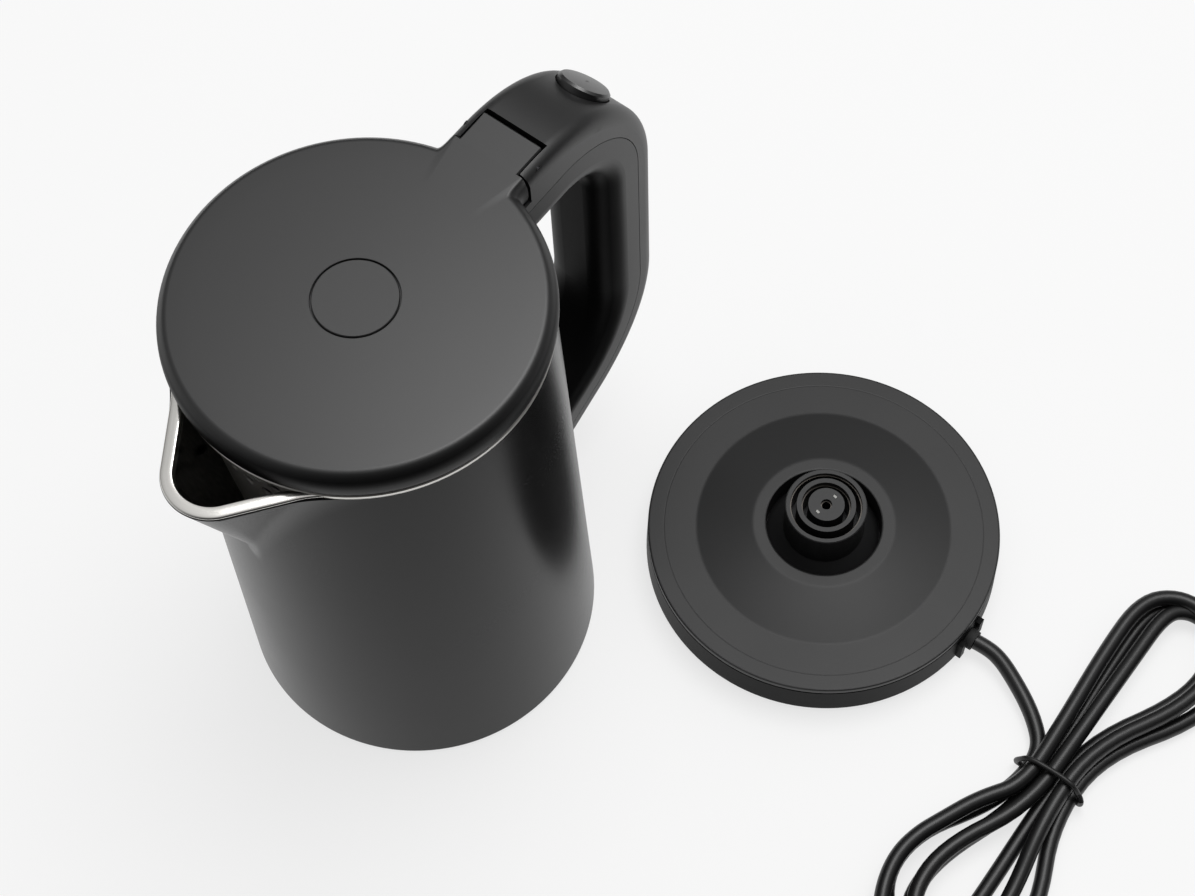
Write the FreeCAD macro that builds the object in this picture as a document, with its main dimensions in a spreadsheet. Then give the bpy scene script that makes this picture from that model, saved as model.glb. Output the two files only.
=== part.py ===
import FreeCAD, Part
import Sketcher
import math
import os
import re

# Cordless electric kettle beside its power base, in millimetres.
# The origin is on the table under the kettle's axis, +Z is up, +X points at the handle and -X at the spout.

V = FreeCAD.Vector
UP = V(0, 0, 1)
LEFT = 1
RIGHT = -1

# Driving dimensions
SIZES = [
    # Kettle wall
    ("body_taper", 6.6),
    ("body_top_radius", 67.4),
    ("foot_height", 1.5),
    ("body_height", 232.5),
    ("shell_wall", 2.5),
    ("fit_gap", 0.2),
    # Steel pot
    ("pot_air_gap", 2.9),
    ("pot_wall", 0.8),
    ("pot_base", 33.0),
    ("rim_overhang", 0.4),
    ("rim_rise", 1.7),
    ("strainer_hole_radius", 2.4),
    ("strainer_pitch", 8.0),
    ("strainer_drop", 11.0),
    # Spout
    ("spout_length", 24.6),
    ("spout_tip_radius", 18.6),
    ("spout_half_angle", 36.1),
    ("spout_turn_angle", 2.0),
    ("spout_drop", 68.5),
    ("keel_inset", 0.4),
    ("keel_radius", 5.0),
    ("cowl_wall", 2.0),
    ("beak_wall", 0.8),
    ("lip_overhang", 0.2),
    ("lip_width", 4.9),
    ("lip_height", 1.5),
    # Lid
    ("lid_overhang", 1.5),
    ("lid_gap", 0.8),
    ("lid_height", 13.0),
    ("lid_crown", 1.0),
    ("lid_edge_radius", 8.0),
    ("lid_wall", 2.8),
    ("lid_plug_gap", 2.5),
    ("lid_plug_depth", 12.5),
    ("lid_seal_gap", 0.8),
    ("lid_seal_height", 3.0),
    ("lid_cap_radius", 15.2),
    ("lid_cap_gap", 0.5),
    ("lid_cap_depth", 1.6),
    ("lid_screw_inset", 14.0),
    # Lid hinge
    ("notch_offset", 5.5),
    ("hinge_gap", 1.0),
    ("tongue_length", 13.4),
    ("tongue_half_width", 13.0),
    ("tongue_side_gap", 0.45),
    ("tongue_rear_gap", 2.0),
    ("tongue_depth", 5.8),
    ("notch_depth", 14.5),
    ("hinge_offset", 6.6),
    ("hinge_drop", 2.8),
    ("hinge_pin_radius", 1.3),
    ("pin_clearance", 0.05),
    ("pin_cover", 1.2),
    ("lid_spring_radius", 2.2),
    ("lid_spring_wire", 0.35),
    ("lid_spring_offset", 2.7),
    # Handle
    ("handle_half_width", 17.8),
    ("handle_projection", 77.1),
    ("handle_bend_radius", 66.0),
    ("grip_depth", 30.0),
    ("arm_depth", 40.0),
    ("grip_corner_radius", 24.0),
    ("handle_low_share", 0.460215),
    ("handle_low_radius", 70.0),
    ("handle_low_angle", 62.0),
    ("handle_edge_radius", 6.0),
    ("grip_edge_radius", 12.0),
    ("seam_depth_top", 18.5),
    ("seam_depth_back", 10.0),
    ("seam_corner_radius", 44.0),
    ("seam_gap", 0.3),
    ("handle_wall", 3.0),
    ("handle_end_gap", 4.0),
    ("shelf_thickness", 2.4),
    ("shelf_setback", 34.0),
    # Lid catch and its button
    ("catch_half_width", 7.0),
    ("catch_height", 5.0),
    ("catch_setback", 40.0),
    ("catch_play", 0.3),
    ("catch_nose_gap", 0.7),
    ("button_angle", 45.0),
    ("button_radius", 10.4),
    ("button_gap", 0.5),
    ("button_rise", 2.6),
    ("button_flange_radius", 11.8),
    ("button_flange_drop", 4.9),
    ("button_flange_height", 2.2),
    ("button_stem_radius", 3.5),
    ("button_stem_drop", 13.0),
    ("button_travel", 3.0),
    ("leaf_thickness", 0.6),
    ("leaf_half_width", 4.0),
    # Power switch and steam switch
    ("switch_angle", 45.0),
    ("switch_pivot_inset", 8.0),
    ("switch_pin_radius", 1.5),
    ("switch_half_width", 7.0),
    ("switch_half_thickness", 2.5),
    ("switch_reach", 8.0),
    ("switch_tail", 5.0),
    ("switch_sweep", 2.3),
    ("steam_switch_rise", 5.0),
    ("steam_switch_height", 16.0),
    ("steam_switch_depth", 20.0),
    ("steam_switch_half_width", 11.0),
    ("bimetal_radius", 8.0),
    ("bimetal_thickness", 0.6),
    ("steam_tube_radius", 3.0),
    ("steam_tube_offset", 4.0),
    ("wire_radius", 1.1),
    ("wire_half_spacing", 3.5),
    ("wire_inset", 20.0),
    ("wire_hole_radius", 6.2),
    # Screws
    ("screw_radius", 1.5),
    ("screw_head_radius", 2.9),
    ("screw_head_height", 1.8),
    ("screw_length", 9.0),
    ("head_sink", 0.9),
    ("thread_gap", 0.05),
    ("handle_screw_drop", 10.5),
    ("handle_screw_fall", 57.0),
    ("handle_screw_spread", 10.0),
    # Heater and control
    ("heater_inset", 6.0),
    ("heater_thickness", 4.0),
    ("element_inset", 20.0),
    ("element_radius", 3.25),
    ("element_angle", 300.0),
    ("control_radius", 24.0),
    ("control_base", 7.5),
    ("socket_radius", 17.5),
    ("socket_depth", 19.5),
    ("control_screw_circle_radius", 20.8),
    ("stud_inset", 11.0),
    ("stud_radius", 3.5),
    # Kettle underside
    ("foot_ring_width", 18.0),
    ("cover_thickness", 2.0),
    ("cover_rise", 5.5),
    ("cover_flat_radius", 30.5),
    ("cover_hole_radius", 20.4),
    ("cover_spigot_height", 8.5),
    ("cover_boss_radius", 4.5),
    ("cover_boss_top", 12.0),
    # Power base
    ("base_x", 119.4),
    ("base_y", -125.8),
    ("base_top_radius", 75.0),
    ("base_flare", 0.7),
    ("base_edge_radius", 2.2),
    ("base_top", 21.9),
    ("base_seam", 18.9),
    ("base_seam_gap", 0.8),
    ("base_wall", 2.4),
    ("base_floor", 1.5),
    ("base_recess_inset", 21.0),
    ("base_recess_drop", 0.3),
    ("base_ring_radius", 30.2),
    ("base_ring_top", 26.3),
    ("well_radius", 24.5),
    ("well_floor", 14.0),
    ("base_screw_inset", 15.0),
    ("base_boss_radius", 3.5),
    ("foot_pad_inset", 12.0),
    ("foot_pad_radius", 6.0),
    # Ring connector
    ("connector_top", 42.0),
    ("connector_radius", 17.2),
    ("connector_wall", 2.0),
    ("inner_ring_radius", 12.4),
    ("inner_ring_rise", 1.0),
    ("post_radius", 7.6),
    ("post_rise", 1.5),
    ("post_hole_radius", 2.4),
    ("connector_groove_floor", 27.0),
    ("connector_shoulder", 23.0),
    ("connector_flange_radius", 38.0),
    ("connector_flange_thickness", 2.9),
    ("connector_hub_radius", 12.0),
    ("connector_hub_bottom", 5.0),
    ("connector_screw_circle_radius", 33.0),
    ("contact_thickness", 0.5),
    ("contact_gap", 0.05),
    # Lead outlet
    ("outlet_z", 8.0),
    ("relief_depth", 17.7),
    ("relief_projection", 3.3),
    ("relief_large_radius", 5.2),
    ("relief_small_radius", 4.4),
    ("cheek_inner", 5.2),
    ("cheek_outer", 8.2),
    ("cheek_projection", 1.6),
    ("cheek_top", 14.0),
    ("clamp_thickness", 2.6),
    ("clamp_half_length", 11.5),
    ("clamp_half_width", 3.2),
    ("clamp_screw_spacing", 8.2),
    ("base_wire_radius", 1.3),
    # Lead, hank and plug
    ("cord_radius", 3.4),
    ("strand_gap", 0.5),
    ("hank_offset", 31.4),
    ("hank_distance", 57.2),
    ("tie_lift", 1.7),
    ("tie_thickness", 1.3),
    ("tie_half_width", 1.1),
    ("tie_clearance", 0.3),
    ("plug_offset", 126.0),
    ("plug_shift", 12.2),
    ("plug_length", 40.0),
    ("plug_half_width", 17.0),
    ("plug_height", 25.0),
    ("plug_neck_length", 14.0),
    ("plug_neck_radius", 5.5),
    ("blade_length", 18.0),
    ("blade_width", 6.4),
    ("blade_thickness", 1.5),
    ("blade_spacing", 7.9),
]

# Sizes that follow from the driving dimensions
FOLLOWING = [
    ("body_bottom_radius", "body_top_radius + body_taper"),
    ("pot_radius", "body_top_radius - shell_wall - pot_wall - pot_air_gap"),
    ("rim_radius", "body_top_radius + rim_overhang"),
    ("spout_reach", "body_top_radius + spout_length"),
    ("keel_reach", "body_top_radius + body_taper * spout_drop / (body_height - foot_height) - keel_inset"),
    ("lid_radius", "body_top_radius + lid_overhang"),
    ("lid_plug_radius", "pot_radius - lid_plug_gap"),
    ("lid_seal_radius", "pot_radius - lid_seal_gap"),
    ("lid_screw_circle_radius", "pot_radius - lid_screw_inset"),
    ("notch_front", "body_top_radius + notch_offset"),
    ("tongue_reach", "notch_front + tongue_length"),
    ("hinge_x", "notch_front + hinge_offset"),
    ("lid_spring_x", "notch_front + lid_spring_offset"),
    ("handle_back", "body_top_radius + handle_projection"),
    ("handle_low_z", "body_height * handle_low_share"),
    ("handle_end_wall", "body_bottom_radius + handle_end_gap"),
    ("shelf_end", "handle_back - shelf_setback"),
    ("catch_end", "handle_back - catch_setback"),
    ("steam_switch_z", "handle_low_z + steam_switch_rise"),
    ("handle_screw_top_z", "body_height - handle_screw_drop"),
    ("handle_screw_low_z", "handle_low_z - handle_screw_fall"),
    ("heater_radius", "pot_radius - heater_inset"),
    ("element_ring_radius", "pot_radius - element_inset"),
    ("stud_circle_radius", "pot_radius - stud_inset"),
    ("foot_inner_radius", "body_bottom_radius - foot_ring_width"),
    ("base_low_radius", "base_top_radius + base_flare"),
    ("base_recess_radius", "base_top_radius - base_recess_inset"),
    ("base_screw_circle_radius", "base_top_radius - base_screw_inset"),
    ("foot_circle_radius", "base_top_radius - foot_pad_inset"),
    ("relief_start", "base_low_radius - relief_depth"),
    ("relief_end", "base_low_radius + relief_projection"),
    ("cheek_reach", "base_low_radius + cheek_projection"),
    ("hank_x", "base_x - hank_offset"),
    ("hank_y", "base_y - relief_end - hank_distance"),
    ("plug_x", "hank_x - plug_offset"),
    ("plug_y", "hank_y + plug_shift"),
]

doc = FreeCAD.newDocument("electric_kettle")
sheet = doc.addObject("Spreadsheet::Sheet", "Dims")
ALIASES = set()
for row, (alias, value) in enumerate(SIZES + FOLLOWING, start=1):
    sheet.set("A%d" % row, alias)
    sheet.setAlias("B%d" % row, alias)
    ALIASES.add(alias)
for row, (alias, value) in enumerate(SIZES + FOLLOWING, start=1):
    sheet.set("B%d" % row, "=" + value if isinstance(value, str) else str(value))
doc.recompute()

NODES = []


def bound(text):
    """The expression with each size named as a cell of the sheet."""
    return re.sub(r"[a-z]\w*",
                  lambda word: "Dims." + word.group() if word.group() in ALIASES else word.group(), text)


def val(text):
    """The present value of an expression, as a plain number."""
    return float(sheet.evalExpression(bound(text)))


# Heights and places that follow from the driving dimensions
RIM_TOP = "(body_height + rim_rise)"
LID_BASE = "(body_height + rim_rise + lid_gap)"
LID_TOP = "(body_height + rim_rise + lid_gap + lid_height)"
CROWN_TOP = "(body_height + rim_rise + lid_gap + lid_height + lid_crown)"
HINGE_Z = "(body_height + rim_rise + lid_gap + lid_height - hinge_drop)"
NOTCH_FLOOR = "(body_height + rim_rise + lid_gap + lid_height - notch_depth)"
POT_OUTER = "(pot_radius + pot_wall)"
HEATER_BASE = "(pot_base - heater_thickness)"
BEAK_INSET = "(cowl_wall + fit_gap)"
CHANNEL_INSET = "(cowl_wall + fit_gap + beak_wall)"
SEAM_Z = "(body_height + rim_rise + lid_gap + lid_height - seam_depth_top)"
BEND_X = "(handle_back - handle_bend_radius)"
BEND_Z = "(body_height + rim_rise + lid_gap + lid_height - handle_bend_radius)"
CORNER_X = "(handle_back - grip_depth - grip_corner_radius)"
CORNER_Z = "(body_height + rim_rise + lid_gap + lid_height - arm_depth - grip_corner_radius)"
LOW_X = "(handle_back - handle_low_radius)"
STRAND_PITCH = "(2 * cord_radius + strand_gap)"
LAYER_STEP = "(%s * sqrt(3) / 2)" % STRAND_PITCH


def shell_radius(z):
    """Outer radius of the tapered wall at a height."""
    slope = "(body_top_radius - body_bottom_radius) / (body_height - foot_height)"
    return "(body_bottom_radius + %s * (%s - foot_height))" % (slope, z)


# Sketches, bodies and booleans

def keep(item, label):
    """Name a finished piece as a node of the part."""
    item.Label = label
    NODES.append(item)
    return item


def sketch_on(body, role, name, lift=None):
    sketch = body.newObject("Sketcher::SketchObject", name)
    plane = [feature for feature in body.Origin.OriginFeatures if feature.Role == role][0]
    sketch.AttachmentSupport = [(plane, "")]
    sketch.MapMode = "FlatFace"
    if lift is not None:
        sketch.setExpression("AttachmentOffset.Base.z", bound(lift))
    return sketch


def arc_centre(start, end, radius, side):
    """Centre of the short arc from start to end, on its left or right side."""
    middle = (start + end) * 0.5
    half = (end - start) * 0.5
    height = math.sqrt(max(radius ** 2 - half.Length ** 2, 0.0))
    normal = UP.cross(half).normalize()
    return middle + normal * (height * side)


def draw(sketch, outline):
    """Draw a closed outline. A corner is (u, v), or (u, v, radius, side) where an arc leaves it."""
    corners = [V(val(item[0]), val(item[1]), 0) for item in outline]
    geometry = []
    ends = []
    for index, item in enumerate(outline):
        start = corners[index]
        end = corners[(index + 1) % len(corners)]
        if len(item) == 2:
            geometry.append(Part.LineSegment(start, end))
            ends.append((1, 2))
            continue
        radius = val(item[2])
        centre = arc_centre(start, end, radius, item[3])
        first, last = (start, end) if item[3] == LEFT else (end, start)
        angles = [math.atan2(point.y - centre.y, point.x - centre.x) for point in (first, last)]
        geometry.append(Part.ArcOfCircle(Part.Circle(centre, UP, radius), angles[0], angles[1]))
        ends.append((1, 2) if item[3] == LEFT else (2, 1))
    sketch.addGeometry(geometry, False)
    constraints = []
    formulas = []

    def measure(constraint, text):
        formulas.append((len(constraints), text))
        constraints.append(constraint)

    for index, item in enumerate(outline):
        following = (index + 1) % len(outline)
        constraints.append(Sketcher.Constraint("Coincident", index, ends[index][1], following,
                                               ends[following][0]))
        for kind, axis, text, value in (("DistanceX", -2, item[0], corners[index].x),
                                        ("DistanceY", -1, item[1], corners[index].y)):
            if text == "0":
                constraints.append(Sketcher.Constraint("PointOnObject", index, ends[index][0], axis))
            else:
                measure(Sketcher.Constraint(kind, -1, 1, index, ends[index][0], value), text)
        if len(item) > 2:
            measure(Sketcher.Constraint("Radius", index, val(item[2])), item[2])
    sketch.addConstraint(constraints)
    for index, text in formulas:
        sketch.setExpression("Constraints[%d]" % index, bound(text))


def turned(name, outline, sweep=None):
    """A body turned about the Z axis from an outline of (radius, height) corners."""
    body = doc.addObject("PartDesign::Body", name)
    sketch = sketch_on(body, "XZ_Plane", name + "_profile")
    draw(sketch, outline)
    turn = body.newObject("PartDesign::Revolution", name + "_turn")
    turn.Profile = sketch
    turn.ReferenceAxis = (sketch, ["V_Axis"])
    turn.Angle = 360
    if sweep is not None:
        turn.setExpression("Angle", bound(sweep))
    return body


def side_cut(name, outline, half_width):
    """A body padded both ways in Y from an outline of (x, z) corners."""
    body = doc.addObject("PartDesign::Body", name)
    sketch = sketch_on(body, "XZ_Plane", name + "_profile")
    draw(sketch, outline)
    pad = body.newObject("PartDesign::Pad", name + "_pad")
    pad.Profile = sketch
    pad.SideType = "Symmetric"
    pad.setExpression("Length", bound("2 * (%s)" % half_width))
    return body


def plan_cut(name, outline, low, high):
    """A body padded upwards from an outline of (x, y) corners, between two heights."""
    body = doc.addObject("PartDesign::Body", name)
    sketch = sketch_on(body, "XY_Plane", name + "_profile", low)
    draw(sketch, outline)
    pad = body.newObject("PartDesign::Pad", name + "_pad")
    pad.Profile = sketch
    pad.setExpression("Length", bound("%s - %s" % (high, low)))
    return body


def round_edges(body, radius, chosen):
    """Fillet those edges of a body that a test picks."""
    doc.recompute()
    base = body.Tip
    edges = ["Edge%d" % (index + 1) for index, edge in enumerate(base.Shape.Edges) if chosen(edge)]
    fillet = body.newObject("PartDesign::Fillet", body.Name + "_round")
    fillet.Base = (base, edges)
    fillet.setExpression("Radius", bound(radius))
    return body


def place(item, x="0", y="0", z="0"):
    for letter, text in zip("xyz", (x, y, z)):
        if text != "0":
            item.setExpression("Placement.Base." + letter, bound(text))
    return item


def cylinder(name, radius, height, x="0", y="0", z="0", axis=UP):
    item = doc.addObject("Part::Cylinder", name)
    item.setExpression("Radius", bound(radius))
    item.setExpression("Height", bound(height))
    item.Placement = FreeCAD.Placement(V(), FreeCAD.Rotation(UP, axis))
    return place(item, x, y, z)


def box(name, low, high):
    item = doc.addObject("Part::Box", name)
    for side, near, far in zip(("Length", "Width", "Height"), low, high):
        item.setExpression(side, bound("(%s) - (%s)" % (far, near)))
    return place(item, *low)


def cut(name, base, *tools):
    item = doc.addObject("Part::Cut", name)
    item.Base = base
    item.Tool = tools[0] if len(tools) == 1 else join(name + "_tools", *tools)
    return item


def join(name, *pieces):
    item = doc.addObject("Part::MultiFuse", name)
    item.Shapes = list(pieces)
    item.Refine = True
    return item


def overlap(name, first, second):
    item = doc.addObject("Part::Common", name)
    item.Base = first
    item.Tool = second
    return item


def group(name, *pieces):
    """Separate solids that share one node."""
    item = doc.addObject("Part::Compound", name)
    item.Links = list(pieces)
    return item


def on_base(item):
    """Move a piece that was made about the power base's own axis to its place on the table."""
    return place(item, "base_x", "base_y")


def around(count, start=0.0):
    """Angles of equally spaced copies, in degrees."""
    return [start + 360.0 * index / count for index in range(count)]


def polar(radius, angle):
    return "%s * cos(%g)" % (radius, angle), "%s * sin(%g)" % (radius, angle)


def screw(name, x, y, z, axis=UP, length="screw_length"):
    """A screw whose head seats at the given point, with its shank along the axis."""
    shank = cylinder(name + "_shank", "screw_radius", length, x, y, z, axis)
    back = axis * -1
    head = cylinder(name + "_head", "screw_head_radius", "screw_head_height", x, y, z, back)
    return join(name, shank, head)


def ring(name, inner, outer, low, high):
    return turned(name, [(inner, low), (outer, low), (outer, high), (inner, high)])


# Free curves: tubes and loops

def sweep_circle(path, radius):
    """Sweep a circle along a smooth wire into one closed solid."""
    first = path.OrderedEdges[0]
    start = first.valueAt(first.FirstParameter)
    heading = first.tangentAt(first.FirstParameter)
    if (start - path.OrderedVertexes[0].Point).Length > 1e-6:
        start = first.valueAt(first.LastParameter)
        heading = first.tangentAt(first.LastParameter) * -1
    profile = Part.Wire([Part.Edge(Part.Circle(start, heading, radius))])
    shell = Part.BRepOffsetAPI.MakePipeShell(path)
    shell.add(profile)
    shell.build()
    shell.makeSolid()
    return shell.shape()


def rounded_path(points, label, bend=None):
    """Straight runs joined by tangent arcs as large as the runs allow, or of one given radius."""
    edges = []
    radii = []
    last = points[0]
    for before, corner, after in zip(points, points[1:], points[2:]):
        come = (corner - before).normalize()
        go = (after - corner).normalize()
        half_turn = come.getAngle(go) / 2
        shorter = min((corner - before).Length, (after - corner).Length)
        radius = 0.45 * shorter / math.tan(half_turn) if bend is None else bend
        reach = radius * math.tan(half_turn)
        start = corner - come * reach
        end = corner + go * reach
        inward = (go - come).normalize()
        middle = corner + inward * (radius / math.cos(half_turn) - radius)
        edges.append(Part.LineSegment(last, start).toShape())
        edges.append(Part.Arc(start, middle, end).toShape())
        radii.append(radius)
        last = end
    edges.append(Part.LineSegment(last, points[-1]).toShape())
    print(label, "bend radii", " ".join("%.1f" % radius for radius in radii))
    return Part.Wire(edges)


def tube(points, radius, label, bend=None):
    """A round tube along a route, with its volume set against section times length."""
    path = rounded_path(points, label, bend)
    solid = sweep_circle(path, radius)
    expected = math.pi * radius ** 2 * path.Length
    print(label, "length %.1f volume ratio %.5f" % (path.Length, solid.Volume / expected))
    return solid


def arc_or_line(start, heading, end):
    """The arc from start to end that leaves along a heading, as an edge."""
    chord = end - start
    across = chord - heading * chord.dot(heading)
    if across.Length < 1e-4 * chord.Length:
        return Part.LineSegment(start, end).toShape()
    across.normalize()
    radius = chord.dot(chord) / (2 * chord.dot(across))
    centre = start + across * radius
    middle = centre + ((start - centre) + (end - centre)).normalize() * radius
    return Part.Arc(start, middle, end).toShape()


def biarc(start, start_heading, end, end_heading):
    """Two arcs that join two points smoothly along their headings."""
    gap = end - start
    both = start_heading + end_heading
    square = 2 * (1 - start_heading.dot(end_heading))
    if square < 1e-9:
        reach = gap.dot(gap) / (2 * gap.dot(both))
    else:
        along = gap.dot(both)
        reach = (-along + math.sqrt(along ** 2 + square * gap.dot(gap))) / square
    joint = (start + end + (start_heading - end_heading) * reach) * 0.5
    first = arc_or_line(start, start_heading, joint)
    last = arc_or_line(end, end_heading * -1, joint)
    last.reverse()
    return [first, last]


def looped_path(stations):
    """A smooth wire of arcs through (point, heading) stations."""
    edges = []
    for (start, start_heading), (end, end_heading) in zip(stations, stations[1:]):
        edges.extend(biarc(start, start_heading, end, end_heading))
    return Part.Wire(edges)


def least_self_gap(path, radius):
    """Least clear gap between stretches of a tube that are not neighbours along it."""
    step = radius / 2
    count = int(path.Length / step)
    points = path.discretize(Number=count)
    skip = int(5 * math.pi * radius / step)
    least = 1e9
    for index, point in enumerate(points):
        for other in points[index + skip:]:
            least = min(least, point.distanceToPoint(other))
    return least - 2 * radius


def helix_stations(centre, radius, height, turns):
    """Quarter-turn stations of a coil that stands on a point."""
    stations = []
    count = 4 * turns
    rise = height / (2 * math.pi * turns)
    for index in range(count + 1):
        angle = math.pi / 2 * index
        across = V(math.cos(angle), math.sin(angle), 0)
        heading = V(-radius * math.sin(angle), radius * math.cos(angle), rise).normalize()
        stations.append((centre + across * radius + UP * (height * index / count), heading))
    return stations


def feature(label, shape):
    item = doc.addObject("Part::Feature", label)
    item.Shape = shape
    item.Placement = FreeCAD.Placement()
    return keep(item, label)


# Kettle wall and spout

def body_form(name, offset, low, high):
    """The tapered body as a full solid, moved out by an offset."""
    return turned(name, [
        ("0", low),
        (shell_radius(low) + " + " + offset, low),
        (shell_radius(high) + " + " + offset, high),
        ("0", high),
    ])


def spout_outline(reach, radius, inset):
    """Plan of the spout: two straight sides that meet in a round tip."""
    centre = "(-%s + %s)" % (reach, radius)
    round_radius = "(%s - (%s))" % (radius, inset)
    root = "(0 - pot_radius / 2)"
    side = "((%s + (%s - %s) * sin(spout_half_angle)) / cos(spout_half_angle))" % (round_radius, root, centre)
    touch_x = "(%s - %s * sin(spout_half_angle))" % (centre, round_radius)
    touch_y = "(%s * cos(spout_half_angle))" % round_radius
    return [
        (root, side),
        (touch_x, touch_y, round_radius, LEFT),
        (touch_x, "-" + touch_y),
        (root, "-" + side),
    ]


def to_spout_side(item):
    """Turn a piece drawn straight opposite the handle to where the spout stands."""
    item.Placement = FreeCAD.Placement(V(), FreeCAD.Rotation(V(0, 0, -1), 1))
    item.setExpression("Placement.Rotation.Angle", bound("spout_turn_angle"))
    return item


def spout_form(name, inset):
    """The spout as a full solid between its keel and the rim, moved in by an inset."""
    body = doc.addObject("PartDesign::Body", name)
    keel = sketch_on(body, "XY_Plane", name + "_keel", "body_height - spout_drop")
    draw(keel, spout_outline("keel_reach", "keel_radius", inset))
    mouth = sketch_on(body, "XY_Plane", name + "_mouth", "body_height")
    draw(mouth, spout_outline("spout_reach", "spout_tip_radius", inset))
    loft = body.newObject("PartDesign::AdditiveLoft", name + "_loft")
    loft.Profile = keel
    loft.Sections = [mouth]
    loft.Ruled = True
    return to_spout_side(body)


def wall_hole(name, radius, y, z, near="pot_radius", far="handle_end_wall + 1"):
    """A hole tool along X, from inside the kettle wall into the handle."""
    return cylinder(name, radius, "%s - (%s)" % (far, near), near, y, z, V(1, 0, 0))


HANDLE_SCREWS = [("0", "handle_screw_top_z"), ("handle_screw_spread", "handle_screw_low_z"),
                 ("-handle_screw_spread", "handle_screw_low_z")]
STEAM_Z = "(%s + grip_corner_radius + handle_wall + steam_tube_offset)" % CORNER_Z
WIRE_LOW_X = "(%s + (handle_low_radius - wire_inset) * cos(handle_low_angle))" % LOW_X
WIRE_LOW_Z = "(handle_low_z - (handle_low_radius - wire_inset) * sin(handle_low_angle))"
WIRE_HOLE_Z = "(%s - (%s - body_bottom_radius) / tan(handle_low_angle))" % (WIRE_LOW_Z, WIRE_LOW_X)


def wall_tools(name, clearance):
    """Holes for the handle's screws, the steam tube and the switch wires."""
    tools = [wall_hole("%s_screw_%d" % (name, index), "screw_radius + " + clearance, y, z)
             for index, (y, z) in enumerate(HANDLE_SCREWS)]
    tools.append(wall_hole(name + "_steam", "steam_tube_radius + fit_gap", "0", STEAM_Z))
    tools.append(wall_hole(name + "_wires", "wire_hole_radius", "0", WIRE_HOLE_Z))
    return tools


def make_outer_shell():
    outside = join("shell_outside", body_form("shell_body", "0", "foot_height", "body_height"),
                   spout_form("cowl_form", "0"))
    hollow = body_form("shell_hollow", "(0 - shell_wall)", "foot_height", "body_height")
    channel = spout_form("cowl_channel", "cowl_wall")
    keep(cut("outer_shell", outside, hollow, channel, *wall_tools("shell", "fit_gap")), "outer_shell")


def make_inner_pot():
    pot = turned("pot_wall_form", [
        ("pot_radius", "pot_base + pot_wall"),
        (POT_OUTER, "pot_base + pot_wall"),
        (POT_OUTER, "body_height"),
        ("rim_radius", "body_height"),
        ("rim_radius", RIM_TOP + " - 0.4"),
        ("rim_radius - 0.4", RIM_TOP),
        ("body_top_radius - shell_wall + 0.6", RIM_TOP),
        ("body_top_radius - shell_wall", "body_height + pot_wall"),
        ("pot_radius", "body_height + pot_wall"),
    ])
    keep(cylinder("pot_floor", POT_OUTER, "pot_wall", z="pot_base"), "pot_floor")
    holes = []
    for row in range(3):
        for column in range(-2, 3 - row % 2):
            across = "strainer_pitch * %g" % (column + 0.5 * (row % 2))
            height = "body_height - strainer_drop - strainer_pitch * %g" % (0.85 * row)
            holes.append(cylinder("strainer_%d_%d" % (row, column + 2), "strainer_hole_radius", "pot_radius",
                                  "0 - pot_radius / 2", across, height, V(-1, 0, 0)))
    steam = wall_hole("pot_steam", "steam_tube_radius / 2", "0", STEAM_Z, "pot_radius - 1",
                      POT_OUTER + " + 1")
    strainer = to_spout_side(group("strainer_holes", *holes))
    keep(cut("inner_pot", pot, steam, strainer), "inner_pot")


def make_spout_beak():
    outer = spout_form("beak_outside", BEAK_INSET)
    lip = to_spout_side(plan_cut("lip_outside", spout_outline("spout_reach", "spout_tip_radius",
                                                              "(0 - lip_overhang)"),
                                 "body_height", "body_height + lip_height"))
    channel = spout_form("beak_channel", CHANNEL_INSET)
    mouth = plan_cut("lip_mouth", spout_outline("spout_reach", "spout_tip_radius",
                                                "(lip_width - lip_overhang)"),
                     "body_height", "body_height + lip_height")
    to_spout_side(mouth)
    pot = cylinder("beak_pot_side", POT_OUTER + " + fit_gap / 2", "body_height")
    rim = cylinder("beak_rim_side", "rim_radius + fit_gap / 2", "lip_height", z="body_height")
    wall = cut("beak_wall_piece", outer, channel, pot)
    band = cut("beak_lip_piece", lip, mouth, rim)
    keep(join("spout_beak", wall, band), "spout_beak")


# Handle

def handle_outline(inset, root):
    """Side view of the handle, drawn in by an inset, from the body outwards and back."""
    top = "(%s - %s)" % (LID_TOP, inset)
    back = "(handle_back - %s)" % inset
    low = "(handle_low_radius - %s)" % inset
    inner_low = "(handle_low_radius - grip_depth + %s)" % inset
    corner = "(grip_corner_radius + %s)" % inset
    low_x = "(%s + %s * cos(handle_low_angle))" % (LOW_X, low)
    low_z = "(handle_low_z - %s * sin(handle_low_angle))" % low
    inner_x = "(%s + %s * cos(handle_low_angle))" % (LOW_X, inner_low)
    inner_z = "(handle_low_z - %s * sin(handle_low_angle))" % inner_low
    grip_x = "(handle_back - grip_depth + %s)" % inset
    return [
        (root, top),
        (BEND_X, top, "(handle_bend_radius - %s)" % inset, RIGHT),
        (back, BEND_Z),
        (back, "handle_low_z", low, RIGHT),
        (low_x, low_z),
        (root, "%s - (%s - %s) / tan(handle_low_angle)" % (low_z, low_x, root)),
        (root, "%s - (%s - %s) / tan(handle_low_angle)" % (inner_z, inner_x, root)),
        (inner_x, inner_z, inner_low, LEFT),
        (grip_x, "handle_low_z"),
        (grip_x, CORNER_Z, corner, LEFT),
        (CORNER_X, "(%s + %s)" % (CORNER_Z, corner)),
        (root, "(%s + %s)" % (CORNER_Z, corner)),
    ]


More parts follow.
